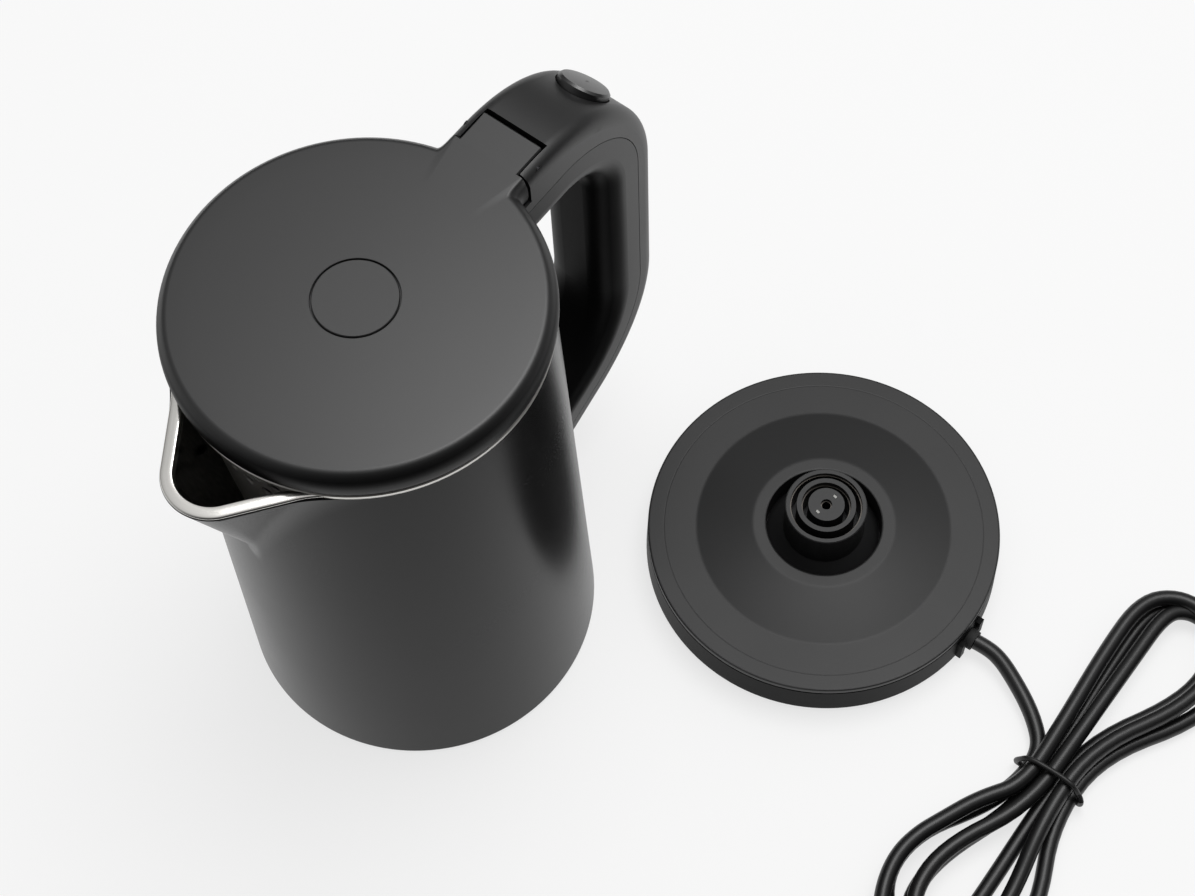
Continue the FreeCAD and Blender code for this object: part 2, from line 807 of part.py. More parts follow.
def seam_form(name, inset):
    """Everything on the grip's side of the seam, moved in by an inset."""
    back = "(handle_back - seam_depth_back - %s)" % inset
    radius = "(seam_corner_radius - %s)" % inset
    low = "(handle_low_radius - seam_depth_back - %s)" % inset
    low_x = "(%s + %s * cos(handle_low_angle))" % (LOW_X, low)
    low_z = "(handle_low_z - %s * sin(handle_low_angle))" % low
    root = "(pot_radius / 2)"
    return side_cut(name, [
        (root, "%s - %s" % (SEAM_Z, inset)),
        ("%s - %s" % (back, radius), "%s - %s" % (SEAM_Z, inset), radius, RIGHT),
        (back, "%s - %s - %s" % (SEAM_Z, inset, radius)),
        (back, "handle_low_z", low, RIGHT),
        (low_x, low_z),
        (root, "%s - (%s - %s) / tan(handle_low_angle)" % (low_z, low_x, root)),
    ], "handle_half_width + 1")


def edge_middle(edge):
    return edge.valueAt((edge.FirstParameter + edge.LastParameter) / 2)


def handle_form(name, inset, root):
    """The handle with its rounded edges, drawn in by an inset, before it is split."""
    half_width = "(handle_half_width - %s)" % inset
    body = side_cut(name, handle_outline(inset, root), half_width)

    def on_side(edge):
        at_width = all(abs(abs(vertex.Point.y) - val(half_width)) < 1e-3 for vertex in edge.Vertexes)
        return at_width and abs(edge_middle(edge).x - val(root)) > 1e-3

    def faces_fingers(edge):
        middle = edge_middle(edge)
        if middle.z < val("handle_low_z"):
            across = math.hypot(middle.x - val(LOW_X), middle.z - val("handle_low_z"))
            slope = val("1 / tan(handle_low_angle)")
            on_line = middle.z - val("handle_low_z") - slope * (middle.x - val(LOW_X))
            limit = -val("(handle_low_radius - grip_depth / 2) / sin(handle_low_angle)")
            return across < val("handle_low_radius - grip_depth / 2") or on_line > limit
        return middle.x < val("handle_back - grip_depth / 2") and middle.z < val(LID_TOP + " - arm_depth / 2")

    round_edges(body, "handle_edge_radius - %s" % inset,
                lambda edge: on_side(edge) and not faces_fingers(edge))
    round_edges(body, "grip_edge_radius - %s" % inset, lambda edge: on_side(edge) and faces_fingers(edge))
    return body


def body_clearance(name):
    """The kettle's wall and rim as a tool that trims the handle to them."""
    below = "(0 - handle_low_radius)"
    return turned(name, [
        ("0", below),
        (shell_radius(below) + " + fit_gap / 2", below),
        (shell_radius("body_height") + " + fit_gap / 2", "body_height"),
        ("rim_radius + fit_gap", "body_height"),
        ("rim_radius + fit_gap", RIM_TOP + " + fit_gap"),
        ("0", RIM_TOP + " + fit_gap"),
    ])


def tilted(item, angle, x, z):
    """Turn a piece about Y by an angle and move it."""
    item.Placement = FreeCAD.Placement(V(), FreeCAD.Rotation(V(0, 1, 0), 1))
    item.setExpression("Placement.Rotation.Angle", bound(angle))
    return place(item, x, "0", z)


def at_button(item):
    """Stand a piece on the handle's bend, with its own Z along the button's axis."""
    return tilted(item, "90 - button_angle", "%s + handle_bend_radius * cos(button_angle)" % BEND_X,
                  "%s + handle_bend_radius * sin(button_angle)" % BEND_Z)


def at_switch(item):
    """Put a piece on the switch's pivot, with its own X pointing out of the handle."""
    reach = "(handle_low_radius - switch_pivot_inset)"
    return tilted(item, "switch_angle", "%s + %s * cos(switch_angle)" % (LOW_X, reach),
                  "handle_low_z - %s * sin(switch_angle)" % reach)


def make_handle():
    whole = handle_form("handle_whole", "0", "(pot_radius / 2)")
    core = handle_form("handle_core", "handle_wall", "handle_end_wall")
    seam = seam_form("handle_seam", "0")
    seam_inner = seam_form("handle_seam_inner", "seam_gap")
    trim = body_clearance("handle_trim")
    grip_block = overlap("grip_block", whole, seam_inner)
    keep(cut("handle_grip", grip_block, core, trim, *wall_tools("grip", "thread_gap")), "handle_grip")

    side = "(tongue_half_width + tongue_side_gap)"
    root = "(pot_radius / 2)"
    roof = "(%s + lid_crown)" % LID_TOP
    notch = box("tongue_notch", (root, "-" + side, NOTCH_FLOOR),
                ("tongue_reach + tongue_rear_gap", side, roof))
    front = box("cheek_front", (root, "-handle_half_width - 1", RIM_TOP),
                ("notch_front", "handle_half_width + 1", roof))
    pin_hole = cylinder("hinge_hole", "hinge_pin_radius + thread_gap", "2 * (handle_half_width - pin_cover)",
                        "hinge_x", "handle_half_width - pin_cover", HINGE_Z, V(0, -1, 0))
    button_hole = at_button(cylinder("button_hole", "button_radius + button_gap", "4 * handle_wall"))
    button_hole.setExpression("Placement.Base.x", bound(
        "%s + (handle_bend_radius - 2 * handle_wall) * cos(button_angle)" % BEND_X))
    button_hole.setExpression("Placement.Base.z", bound(
        "%s + (handle_bend_radius - 2 * handle_wall) * sin(button_angle)" % BEND_Z))
    slot = at_switch(side_cut("switch_slot", [
        ("switch_pivot_inset / 2", "0 - switch_half_thickness - switch_sweep"),
        ("switch_pivot_inset + handle_wall", "0 - switch_half_thickness - switch_sweep"),
        ("switch_pivot_inset + handle_wall", "switch_half_thickness + button_gap"),
        ("switch_pivot_inset / 2", "switch_half_thickness + button_gap"),
    ], "switch_half_width + button_gap"))
    pivot = at_switch(side_cut("switch_pivot_hole", [
        ("0 - switch_pin_radius - thread_gap", "0", "switch_pin_radius + thread_gap", LEFT),
        ("0", "0 - switch_pin_radius - thread_gap", "switch_pin_radius + thread_gap", LEFT),
        ("switch_pin_radius + thread_gap", "0", "switch_pin_radius + thread_gap", LEFT),
        ("0", "switch_pin_radius + thread_gap", "switch_pin_radius + thread_gap", LEFT),
    ], "handle_half_width - pin_cover"))
    skin = cut("cover_skin", whole, seam, core, trim, front)
    shelf = box("catch_shelf", ("handle_end_wall - 1", "0 - handle_half_width + handle_wall / 2",
                                NOTCH_FLOOR + " - shelf_thickness"),
                ("shelf_end", "handle_half_width - handle_wall / 2", NOTCH_FLOOR))
    shelved = join("cover_shelved", skin, shelf)
    keep(cut("handle_cover", shelved, notch, pin_hole, button_hole, slot, pivot), "handle_cover")

    pin = cylinder("hinge_pin", "hinge_pin_radius", "2 * (handle_half_width - pin_cover) - 0.2", "hinge_x",
                   "handle_half_width - pin_cover - 0.1", HINGE_Z, V(0, -1, 0))
    keep(pin, "hinge_pin")
    switch_pin = at_switch(side_cut("switch_pin_body", [
        ("0 - switch_pin_radius", "0", "switch_pin_radius", LEFT),
        ("0", "0 - switch_pin_radius", "switch_pin_radius", LEFT),
        ("switch_pin_radius", "0", "switch_pin_radius", LEFT),
        ("0", "switch_pin_radius", "switch_pin_radius", LEFT),
    ], "handle_half_width - pin_cover - 0.1"))
    keep(switch_pin, "switch_pin")

    seat = "sqrt((%s - shell_wall) ^ 2 - (abs(%s) + screw_head_radius) ^ 2) - fit_gap"
    screws = [screw("handle_screw_%d" % index, seat % (shell_radius(z), y), y, z, V(1, 0, 0))
              for index, (y, z) in enumerate(HANDLE_SCREWS)]
    keep(group("handle_screws", *screws), "handle_screws")


def make_catch_and_button():
    nose = "(tongue_reach + catch_nose_gap + 0.6)"
    low = "(%s + catch_play)" % NOTCH_FLOOR
    catch = side_cut("lid_catch_body", [
        (nose, low),
        ("catch_end", low),
        ("catch_end", low + " + catch_height / 2"),
        ("catch_end - catch_height / 2", low + " + catch_height"),
        (nose + " + catch_height / 2", low + " + catch_height"),
        (nose, low + " + catch_height / 2"),
    ], "catch_half_width")
    keep(catch, "lid_catch")

    button = turned("button_body", [
        ("0", "0 - button_stem_drop"),
        ("button_stem_radius", "0 - button_stem_drop"),
        ("button_stem_radius", "0 - button_flange_drop - button_flange_height"),
        ("button_flange_radius", "0 - button_flange_drop - button_flange_height"),
        ("button_flange_radius", "0 - button_flange_drop"),
        ("button_radius", "0 - button_flange_drop"),
        ("button_radius", "button_rise - 0.9"),
        ("button_radius - 0.9", "button_rise", "(button_radius - 0.9) ^ 2 + 0.25", LEFT),
        ("0", "button_rise + 0.5"),
    ])
    keep(at_button(button), "lid_release_button")

    leaf_top = "(0 - button_stem_drop - button_travel - 0.4)"
    leaf = plan_cut("leaf_body", [
        ("0 - leaf_half_width", "0 - handle_half_width + handle_wall + thread_gap"),
        ("leaf_half_width", "0 - handle_half_width + handle_wall + thread_gap"),
        ("leaf_half_width", "handle_half_width - handle_wall - thread_gap"),
        ("0 - leaf_half_width", "handle_half_width - handle_wall - thread_gap"),
    ], leaf_top + " - leaf_thickness", leaf_top)
    keep(at_button(leaf), "button_spring")


def make_switches():
    bore = "switch_pin_radius + pin_clearance"
    paddle = side_cut("paddle_body", [
        ("0 - switch_tail", "0 - switch_half_thickness"),
        ("switch_pivot_inset + switch_reach / 2", "0 - switch_half_thickness"),
        ("switch_pivot_inset + switch_reach", "0 - switch_half_thickness * 1.6"),
        ("switch_pivot_inset + switch_reach", "switch_half_thickness * 0.2"),
        ("switch_pivot_inset + switch_reach / 2", "switch_half_thickness"),
        ("0 - switch_tail", "switch_half_thickness"),
    ], "switch_half_width")
    hole = side_cut("paddle_bore", [
        ("0 - (%s)" % bore, "0", bore, LEFT),
        ("0", "0 - (%s)" % bore, bore, LEFT),
        (bore, "0", bore, LEFT),
        ("0", bore, bore, LEFT),
    ], "switch_half_width + 1")
    keep(at_switch(cut("paddle", paddle, hole)), "power_switch")

    wall_x = "(handle_back - grip_depth + handle_wall)"
    top = "(steam_switch_z + steam_switch_height)"
    step = "(grip_edge_radius - handle_wall) / 2"
    foot = box("steam_switch_foot", (wall_x, "0 - steam_switch_half_width / 3", "steam_switch_z"),
               (wall_x + " + steam_switch_depth / 2", "steam_switch_half_width / 3", top))
    block = box("steam_switch_block", (wall_x + " + " + step, "0 - steam_switch_half_width",
                                       "steam_switch_z"),
                (wall_x + " + steam_switch_depth", "steam_switch_half_width", top))
    keep(join("steam_switch", foot, block), "steam_switch")
    disc = cylinder("bimetal_disc", "bimetal_radius", "bimetal_thickness",
                    wall_x + " + steam_switch_depth / 2",
                    "0", top)
    keep(disc, "bimetal_disc")


def make_handle_tubes():
    corner = V(val(CORNER_X), 0, val(CORNER_Z))
    reach = val("grip_corner_radius + handle_wall + steam_tube_offset")
    radius = val("steam_tube_radius")
    steam_end = val("steam_switch_z + steam_switch_height + bimetal_thickness + fit_gap")
    start = V(val(POT_OUTER + " + fit_gap / 2"), 0, val(STEAM_Z))
    turn_start = corner + V(0, 0, reach)
    turn_end = corner + V(reach, 0, 0)
    turn_middle = corner + V(1, 0, 1).normalize() * reach
    path = Part.Wire([
        Part.LineSegment(start, turn_start).toShape(),
        Part.Arc(turn_start, turn_middle, turn_end).toShape(),
        Part.LineSegment(turn_end, V(turn_end.x, 0, steam_end)).toShape(),
    ])
    outer = sweep_circle(path, radius)
    feature("steam_tube", outer.cut(sweep_circle(path, radius / 2)))

    low = V(val(LOW_X), 0, val("handle_low_z"))
    reach = val("handle_low_radius - wire_inset")
    angle = math.radians(val("handle_low_angle"))
    arc_end = low + V(math.cos(angle), 0, -math.sin(angle)) * reach
    arc_middle = low + V(math.cos(angle / 2), 0, -math.sin(angle / 2)) * reach
    slope = V(-math.sin(angle), 0, -math.cos(angle))
    gap_middle = val("(%s - shell_wall + %s) / 2" % (shell_radius(WIRE_HOLE_Z), POT_OUTER))
    corner_in_gap = arc_end + slope * ((arc_end.x - gap_middle) / -slope.x)
    low_corner = V(gap_middle, 0, val("(control_base + %s) / 2" % HEATER_BASE))
    finish = V(val("control_radius + fit_gap"), 0, low_corner.z)
    bend = val("3 * wire_radius")
    wires = []
    for side in (-1, 1):
        aside = V(0, side * val("wire_half_spacing"), 0)
        outside = [
            Part.LineSegment(low + V(reach, 0, val("steam_switch_z - handle_low_z")),
                             low + V(reach, 0, 0)).toShape(),
            Part.Arc(low + V(reach, 0, 0), arc_middle, arc_end).toShape(),
        ]
        inside = rounded_path([arc_end, corner_in_gap, low_corner, finish], "switch wire", bend)
        path = Part.Wire(outside + inside.OrderedEdges)
        path.translate(aside)
        wires.append(sweep_circle(path, val("wire_radius")))
    feature("switch_wires", Part.makeCompound(wires))


# Heater, control and underside of the kettle

def make_heater():
    keep(turned("heater_plate", [("0", HEATER_BASE), ("heater_radius", HEATER_BASE),
                                 ("heater_radius", "pot_base"), ("0", "pot_base")]), "heater_plate")
    middle = "(%s - element_radius - thread_gap)" % HEATER_BASE
    element = turned("element_ring", [
        ("element_ring_radius - element_radius", middle, "element_radius", LEFT),
        ("element_ring_radius", middle + " - element_radius", "element_radius", LEFT),
        ("element_ring_radius + element_radius", middle, "element_radius", LEFT),
        ("element_ring_radius", middle + " + element_radius", "element_radius", LEFT),
    ], "element_angle")
    element.Placement = FreeCAD.Placement(V(), FreeCAD.Rotation(UP, 30))
    keep(element, "heating_element")


def make_control():
    ceiling = "(control_base + socket_depth)"
    outer_tube = "(connector_radius - connector_wall - 0.5)"
    outer_tube_in = "(inner_ring_radius + 0.5)"
    inner_tube = "(inner_ring_radius - connector_wall - 0.5)"
    inner_tube_in = "(post_radius + 0.5)"
    tube_low = "(control_base + socket_depth / 4)"
    control = turned("control_form", [
        ("0", ceiling),
        (inner_tube_in, ceiling),
        (inner_tube_in, tube_low),
        (inner_tube, tube_low),
        (inner_tube, ceiling),
        (outer_tube_in, ceiling),
        (outer_tube_in, tube_low),
        (outer_tube, tube_low),
        (outer_tube, ceiling),
        ("socket_radius", ceiling),
        ("socket_radius", "control_base"),
        ("control_radius", "control_base"),
        ("control_radius", HEATER_BASE),
        ("0", HEATER_BASE),
    ])
    tools = []
    heater_holes = []
    screws = []
    seat = "(control_base + screw_head_height + 0.4)"
    for index, angle in enumerate(around(3, 90)):
        x, y = polar("control_screw_circle_radius", angle)
        tools.append(cylinder("control_hole_%d" % index, "screw_radius + thread_gap", "pot_base", x, y, "0"))
        tools.append(cylinder("control_sink_%d" % index, "screw_head_radius + thread_gap",
                              "screw_head_height + 0.4", x, y, "control_base"))
        heater_holes.append(cylinder("heater_hole_%d" % index, "screw_radius + thread_gap",
                                     "heater_thickness / 2 + 0.2", x, y, HEATER_BASE))
        screws.append(screw("control_screw_%d" % index, x, y, seat,
                            length="%s + heater_thickness / 2 - %s" % (HEATER_BASE, seat)))
    keep(cut("control_unit", control, *tools), "control_unit")
    plate = NODES[[node.Label for node in NODES].index("heater_plate")]
    NODES.remove(plate)
    plate.Label = "heater_blank"
    keep(cut("heater_drilled", plate, *heater_holes), "heater_plate")
    keep(group("control_screws", *screws), "control_screws")

    pin = cylinder("centre_contact", "post_hole_radius - 0.4", "socket_depth * 3 / 4", z=ceiling,
                   axis=UP * -1)
    band_low = "(%s + 2)" % tube_low
    band_high = "(%s - 2)" % ceiling
    inner_band = ring("inner_band", inner_tube + " + contact_gap",
                      inner_tube + " + contact_gap + contact_thickness / 2",
                      band_low, band_high)
    outer_band = ring("outer_band", outer_tube + " + contact_gap",
                      outer_tube + " + contact_gap + contact_thickness",
                      band_low, band_high)
    keep(group("socket_contacts", pin, inner_band, outer_band), "socket_contacts")


def make_bottom_cover():
    flat_top = "(cover_rise + cover_thickness)"
    spigot = "(%s - shell_wall - fit_gap)" % shell_radius("foot_height + cover_spigot_height")
    cover = turned("cover_form", [
        ("foot_inner_radius", "0"),
        ("body_bottom_radius - 1", "0"),
        ("body_bottom_radius - 1", "foot_height"),
        (spigot, "foot_height"),
        (spigot, "foot_height + cover_spigot_height"),
        (spigot + " - cover_thickness", "foot_height + cover_spigot_height"),
        (spigot + " - cover_thickness", "cover_thickness"),
        ("foot_inner_radius + 1", "cover_thickness"),
        ("cover_flat_radius + 0.5", flat_top),
        ("cover_hole_radius", flat_top),
        ("cover_hole_radius", "cover_rise"),
        ("cover_flat_radius", "cover_rise"),
    ])
    bosses = []
    holes = []
    studs = []
    screws = []
    seat = "(cover_boss_top - screw_head_height * 2)"
    for index, angle in enumerate(around(3, 60)):
        x, y = polar("stud_circle_radius", angle)
        bosses.append(cylinder("cover_boss_%d" % index, "cover_boss_radius", "cover_boss_top - cover_rise",
                               x, y,
                               "cover_rise"))
        bosses.append(cylinder("cover_boss_foot_%d" % index, "cover_boss_radius", "cover_rise", x, y,
                               "cover_thickness"))
        holes.append(cylinder("cover_sink_%d" % index, "screw_head_radius + thread_gap", seat, x, y, "0"))
        holes.append(cylinder("cover_hole_%d" % index, "screw_radius + thread_gap", "cover_boss_top + 1", x,
                              y, "0"))
        stud = cylinder("stud_blank_%d" % index, "stud_radius", HEATER_BASE + " - cover_boss_top", x, y,
                        "cover_boss_top")
        bore = cylinder("stud_bore_%d" % index, "screw_radius + thread_gap", "screw_length", x, y,
                        "cover_boss_top")
        studs.append(cut("stud_%d" % index, stud, bore))
        screws.append(screw("cover_screw_%d" % index, x, y, seat))
    keep(cut("bottom_cover", join("cover_bossed", cover, *bosses), *holes), "bottom_cover")
    keep(group("tie_studs", *studs), "tie_studs")
    keep(group("bottom_cover_screws", *screws), "bottom_cover_screws")


# Lid

def make_lid():
    edge = "(lid_radius - lid_edge_radius)"
    under = "(%s - lid_wall)" % LID_TOP
    skirt = "(lid_radius - lid_wall)"
    crown_radius = "((%s ^ 2 + lid_crown ^ 2) / (2 * lid_crown))" % edge
    dome = turned("lid_dome", [
        (skirt, LID_BASE),
        ("lid_radius - 0.6", LID_BASE),
        ("lid_radius", LID_BASE + " + (lid_height - lid_edge_radius) / 2"),
        ("lid_radius", LID_TOP + " - lid_edge_radius", "lid_edge_radius", LEFT),
        (edge, LID_TOP, crown_radius, LEFT),
        ("0", CROWN_TOP),
        ("0", under),
        (skirt + " - lid_edge_radius", under),
        (skirt, under + " - lid_edge_radius / 2"),
    ])
    block_end = "(notch_front - hinge_gap)"
    block_half = "(handle_half_width - 0.3)"
    root = "(lid_radius * 0.75)"
    block = box("tongue_block", (root, "-" + block_half, LID_BASE), (block_end, block_half, LID_TOP))
    tongue = box("tongue_plate", (root, "0 - tongue_half_width", LID_TOP + " - tongue_depth"),
                 ("tongue_reach", "tongue_half_width", LID_TOP))
    hollow = turned("lid_hollow", [
        ("0", "body_height"),
        (skirt, "body_height"),
        (skirt, under + " - lid_edge_radius / 2"),
        (skirt + " - lid_edge_radius", under),
        ("0", under),
    ])
    edge_round = "handle_edge_radius - 1"
    side_round = []
    for side in ("", "-"):
        half = "(%s%s)" % (side + "1 * " if side else "", block_half)
        centre_y = "(%s1 * (%s - (%s)))" % (side, block_half, edge_round)
        corner = box("tongue_corner" + ("_near" if side else "_far"),
                     (root, centre_y if not side else half, LID_TOP + " - (%s)" % edge_round),
                     (block_end + " + 1", half if not side else centre_y, LID_TOP + " + lid_crown"))
        bead = cylinder("tongue_bead" + ("_near" if side else "_far"), edge_round,
                        "%s - %s" % (block_end, root), root,
                        centre_y, LID_TOP + " - (%s)" % edge_round, V(1, 0, 0))
        side_round.append((corner, bead))
    trimmed = cut("tongue_trimmed", block, *[corner for corner, bead in side_round])
    rounded = join("tongue_rounded", trimmed, *[bead for corner, bead in side_round])
    arm = cut("tongue_arm", join("tongue_whole", rounded, tongue), hollow)
    cap_seat = cylinder("cap_seat", "lid_cap_radius + lid_cap_gap", "lid_cap_depth + 1",
                        z=CROWN_TOP + " - lid_cap_depth")
    bore = cylinder("tongue_bore", "hinge_pin_radius + pin_clearance", "2 * handle_half_width", "hinge_x",
                    "handle_half_width", HINGE_Z, V(0, -1, 0))
    plate_top = "(%s + 2)" % LID_BASE
    bosses = []
    holes = []
    plate_holes = []
    screws = []
    for index, angle in enumerate(around(3, 60)):
        x, y = polar("lid_screw_circle_radius", angle)
        bosses.append(cylinder("lid_boss_%d" % index, "2 * screw_radius",
                               "%s + lid_wall / 2 - %s" % (under, plate_top),
                               x, y, plate_top))
        holes.append(cylinder("lid_hole_%d" % index, "screw_radius + thread_gap",
                              "%s - %s" % (under, plate_top), x, y, plate_top))
        plate_holes.append(cylinder("plate_hole_%d" % index, "screw_radius + thread_gap", "lid_height", x,
                                    y, LID_BASE
                                    + " - 1"))
        screws.append(screw("lid_screw_%d" % index, x, y, LID_BASE,
                            length="%s - %s - 0.5" % (under, LID_BASE)))
    top = join("lid_bossed", dome, arm, *bosses)
    keep(cut("lid_top", top, cap_seat, bore, *holes), "lid_top")

    cap = turned("lid_cap", [
        ("0", CROWN_TOP + " - lid_cap_depth"),
        ("lid_cap_radius", CROWN_TOP + " - lid_cap_depth"),
        ("lid_cap_radius", CROWN_TOP + " - 0.3"),
        ("lid_cap_radius - 0.3", CROWN_TOP),
        ("0", CROWN_TOP),
    ])
    keep(cap, "lid_cap")

    floor = "(%s - lid_plug_depth)" % LID_BASE
    seal_low = "(%s - lid_seal_height - 1)" % LID_BASE
    inner = turned("lid_inner_form", [
        ("0", floor),
        ("lid_plug_radius", floor),
        ("lid_plug_radius", seal_low),
        ("lid_plug_radius - 1", seal_low),
        ("lid_plug_radius - 1", seal_low + " + lid_seal_height"),
        ("lid_plug_radius", seal_low + " + lid_seal_height"),
        ("lid_plug_radius", LID_BASE),
        (skirt + " - fit_gap", LID_BASE),
        (skirt + " - fit_gap", plate_top),
        ("lid_screw_circle_radius - 4 * screw_radius", plate_top),
        ("lid_screw_circle_radius - 4 * screw_radius", LID_BASE),
        ("lid_plug_radius - 2.5", LID_BASE),
        ("lid_plug_radius - 2.5", floor + " + 2"),
        ("0", floor + " + 2"),
    ])
    pillars = []
    for index, angle in enumerate(around(3, 60)):
        x, y = polar("lid_screw_circle_radius", angle)
        pillars.append(cylinder("lid_pillar_%d" % index, "screw_head_radius + 1.5", "lid_plug_depth", x, y,
                                floor))
        plate_holes.append(cylinder("lid_well_%d" % index, "screw_head_radius + thread_gap",
                                    "lid_plug_depth", x, y, floor))
    keep(cut("lid_inner", join("lid_inner_whole", inner, *pillars), *plate_holes), "lid_inner")
    seal = turned("lid_seal", [
        ("lid_plug_radius - 1 + thread_gap", seal_low + " + thread_gap"),
        ("lid_seal_radius - 0.8", seal_low + " + thread_gap"),
        ("lid_seal_radius", seal_low + " + lid_seal_height / 2"),
        ("lid_seal_radius - 0.8", seal_low + " + lid_seal_height - thread_gap"),
        ("lid_plug_radius - 1 + thread_gap", seal_low + " + lid_seal_height - thread_gap"),
    ])
    keep(seal, "lid_seal")
    keep(group("lid_screws", *screws), "lid_screws")

    spring_base = V(val("lid_spring_x"), 0, val(NOTCH_FLOOR) + val("lid_spring_wire"))
    spring_height = val("%s - tongue_depth - catch_play" % LID_TOP) - spring_base.z - val("lid_spring_wire")
    path = looped_path(helix_stations(spring_base, val("lid_spring_radius"), spring_height, 5))
    print("lid spring least gap %.2f" % least_self_gap(path, val("lid_spring_wire")))
    feature("lid_spring", sweep_circle(path, val("lid_spring_wire")))


# Power base

def make_base():
    seam_top = "(base_seam + base_seam_gap / 2)"
    seam_low = "(base_seam - base_seam_gap / 2)"
    under = "(base_top - base_wall)"
    spigot = "(base_top_radius - base_wall)"
    recess_z = "(base_top - base_recess_drop)"
    ring_under = "(base_ring_top - base_wall)"
    top = turned("base_top_form", [
        ("base_top_radius", seam_top),
        ("base_top_radius", "base_top - base_edge_radius", "base_edge_radius", LEFT),
        ("base_top_radius - base_edge_radius", "base_top"),
        ("base_recess_radius + 0.7", "base_top"),
        ("base_recess_radius", recess_z),
        ("base_ring_radius", "base_ring_top"),
        ("well_radius + 0.5", "base_ring_top"),
        ("well_radius", "base_ring_top - 0.5"),
        ("well_radius", "well_floor"),
        ("well_radius + base_wall", "well_floor"),
        ("well_radius + base_wall", ring_under),
        ("base_ring_radius", ring_under),
        ("base_recess_radius + 0.5", recess_z + " - base_wall"),
        ("base_recess_radius + 2", under),
        (spigot + " - base_wall", under),
        (spigot + " - base_wall", seam_low + " - base_wall"),
        (spigot, seam_low + " - base_wall"),
        (spigot, seam_top),
    ])
    floor_top = "(base_floor + base_wall)"
    bosses = []
    holes = []
    floor_holes = []
    flange_holes = []
    base_screws = []
    connector_screws = []
    for index, angle in enumerate(around(3, 90)):
        x, y = polar("base_screw_circle_radius", angle)
        bosses.append(cylinder("base_boss_%d" % index, "base_boss_radius",
                               "%s + base_wall / 2 - %s" % (under, floor_top),
                               x, y, floor_top))
        holes.append(cylinder("base_hole_%d" % index, "screw_radius + thread_gap", "screw_length", x, y,
                              floor_top))
        floor_holes.append(cylinder("floor_hole_%d" % index, "screw_radius + thread_gap", "base_wall", x, y,
                                    "base_floor"))
        floor_holes.append(cylinder("floor_sink_%d" % index, "screw_head_radius + thread_gap", "head_sink",
                                    x, y,
                                    "base_floor"))
        base_screws.append(screw("base_screw_%d" % index, x, y, "base_floor + head_sink"))
        x, y = polar("connector_screw_circle_radius", angle + 60)
        flange_low = "(well_floor - connector_flange_thickness)"
        bosses.append(cylinder("flange_boss_%d" % index, "base_boss_radius", ring_under + " - well_floor",
                               x, y,
                               "well_floor"))
        holes.append(cylinder("flange_hole_%d" % index, "screw_radius + thread_gap", "screw_length", x, y,
                              "well_floor"))
        flange_holes.append(cylinder("connector_hole_%d" % index, "screw_radius + thread_gap",
                                     "connector_flange_thickness + 1", x, y, flange_low + " - 0.5"))
        connector_screws.append(screw("connector_screw_%d" % index, x, y, flange_low))
    keep(on_base(cut("base_top_cover", join("base_top_bossed", top, *bosses), *holes)), "base_top_cover")

    bottom = turned("base_bottom_form", [
        ("0", "base_floor"),
        ("base_low_radius - 2", "base_floor"),
        ("base_low_radius", "base_floor + 2"),
        ("base_top_radius + 0.1", seam_low),
        ("base_top_radius + 0.1 - base_wall + fit_gap", seam_low),
        ("base_low_radius - base_wall", floor_top),
        ("0", floor_top),
    ])
    extras = []
    for side in ("", "-"):
        near, far = ("cheek_inner", "cheek_outer") if not side else ("0 - cheek_outer", "0 - cheek_inner")
        extras.append(box("outlet_cheek" + ("_left" if side else "_right"),
                          (near, "0 - cheek_reach", "base_floor + 1"),
                          (far, "0 - base_low_radius + base_wall", "cheek_top")))
        extras.append(cylinder("clamp_post" + ("_left" if side else "_right"), "2 * screw_radius",
                               "outlet_z + relief_large_radius - base_floor", side + "clamp_screw_spacing",
                               "0 - relief_start - clamp_half_width", "base_floor"))
        floor_holes.append(cylinder("post_hole" + ("_left" if side else "_right"),
                                    "screw_radius + thread_gap",
                                    "screw_length", side + "clamp_screw_spacing",
                                    "0 - relief_start - clamp_half_width",
                                    "outlet_z + relief_large_radius - screw_length + 2"))
    outlet = cylinder("outlet_hole", "relief_large_radius", "base_low_radius", "0", "0 - relief_start",
                      "outlet_z",
                      V(0, -1, 0))
    keep(on_base(cut("base_bottom_cover", join("base_bottom_whole", bottom, *extras), outlet, *floor_holes)),
         "base_bottom_cover")
    keep(on_base(group("base_screws", *base_screws)), "base_screws")
    pads = [cylinder("foot_pad_%d" % index, "foot_pad_radius", "base_floor",
                     *polar("foot_circle_radius", angle))
            for index, angle in enumerate(around(4, 45))]
    keep(on_base(group("base_feet", *pads)), "base_feet")

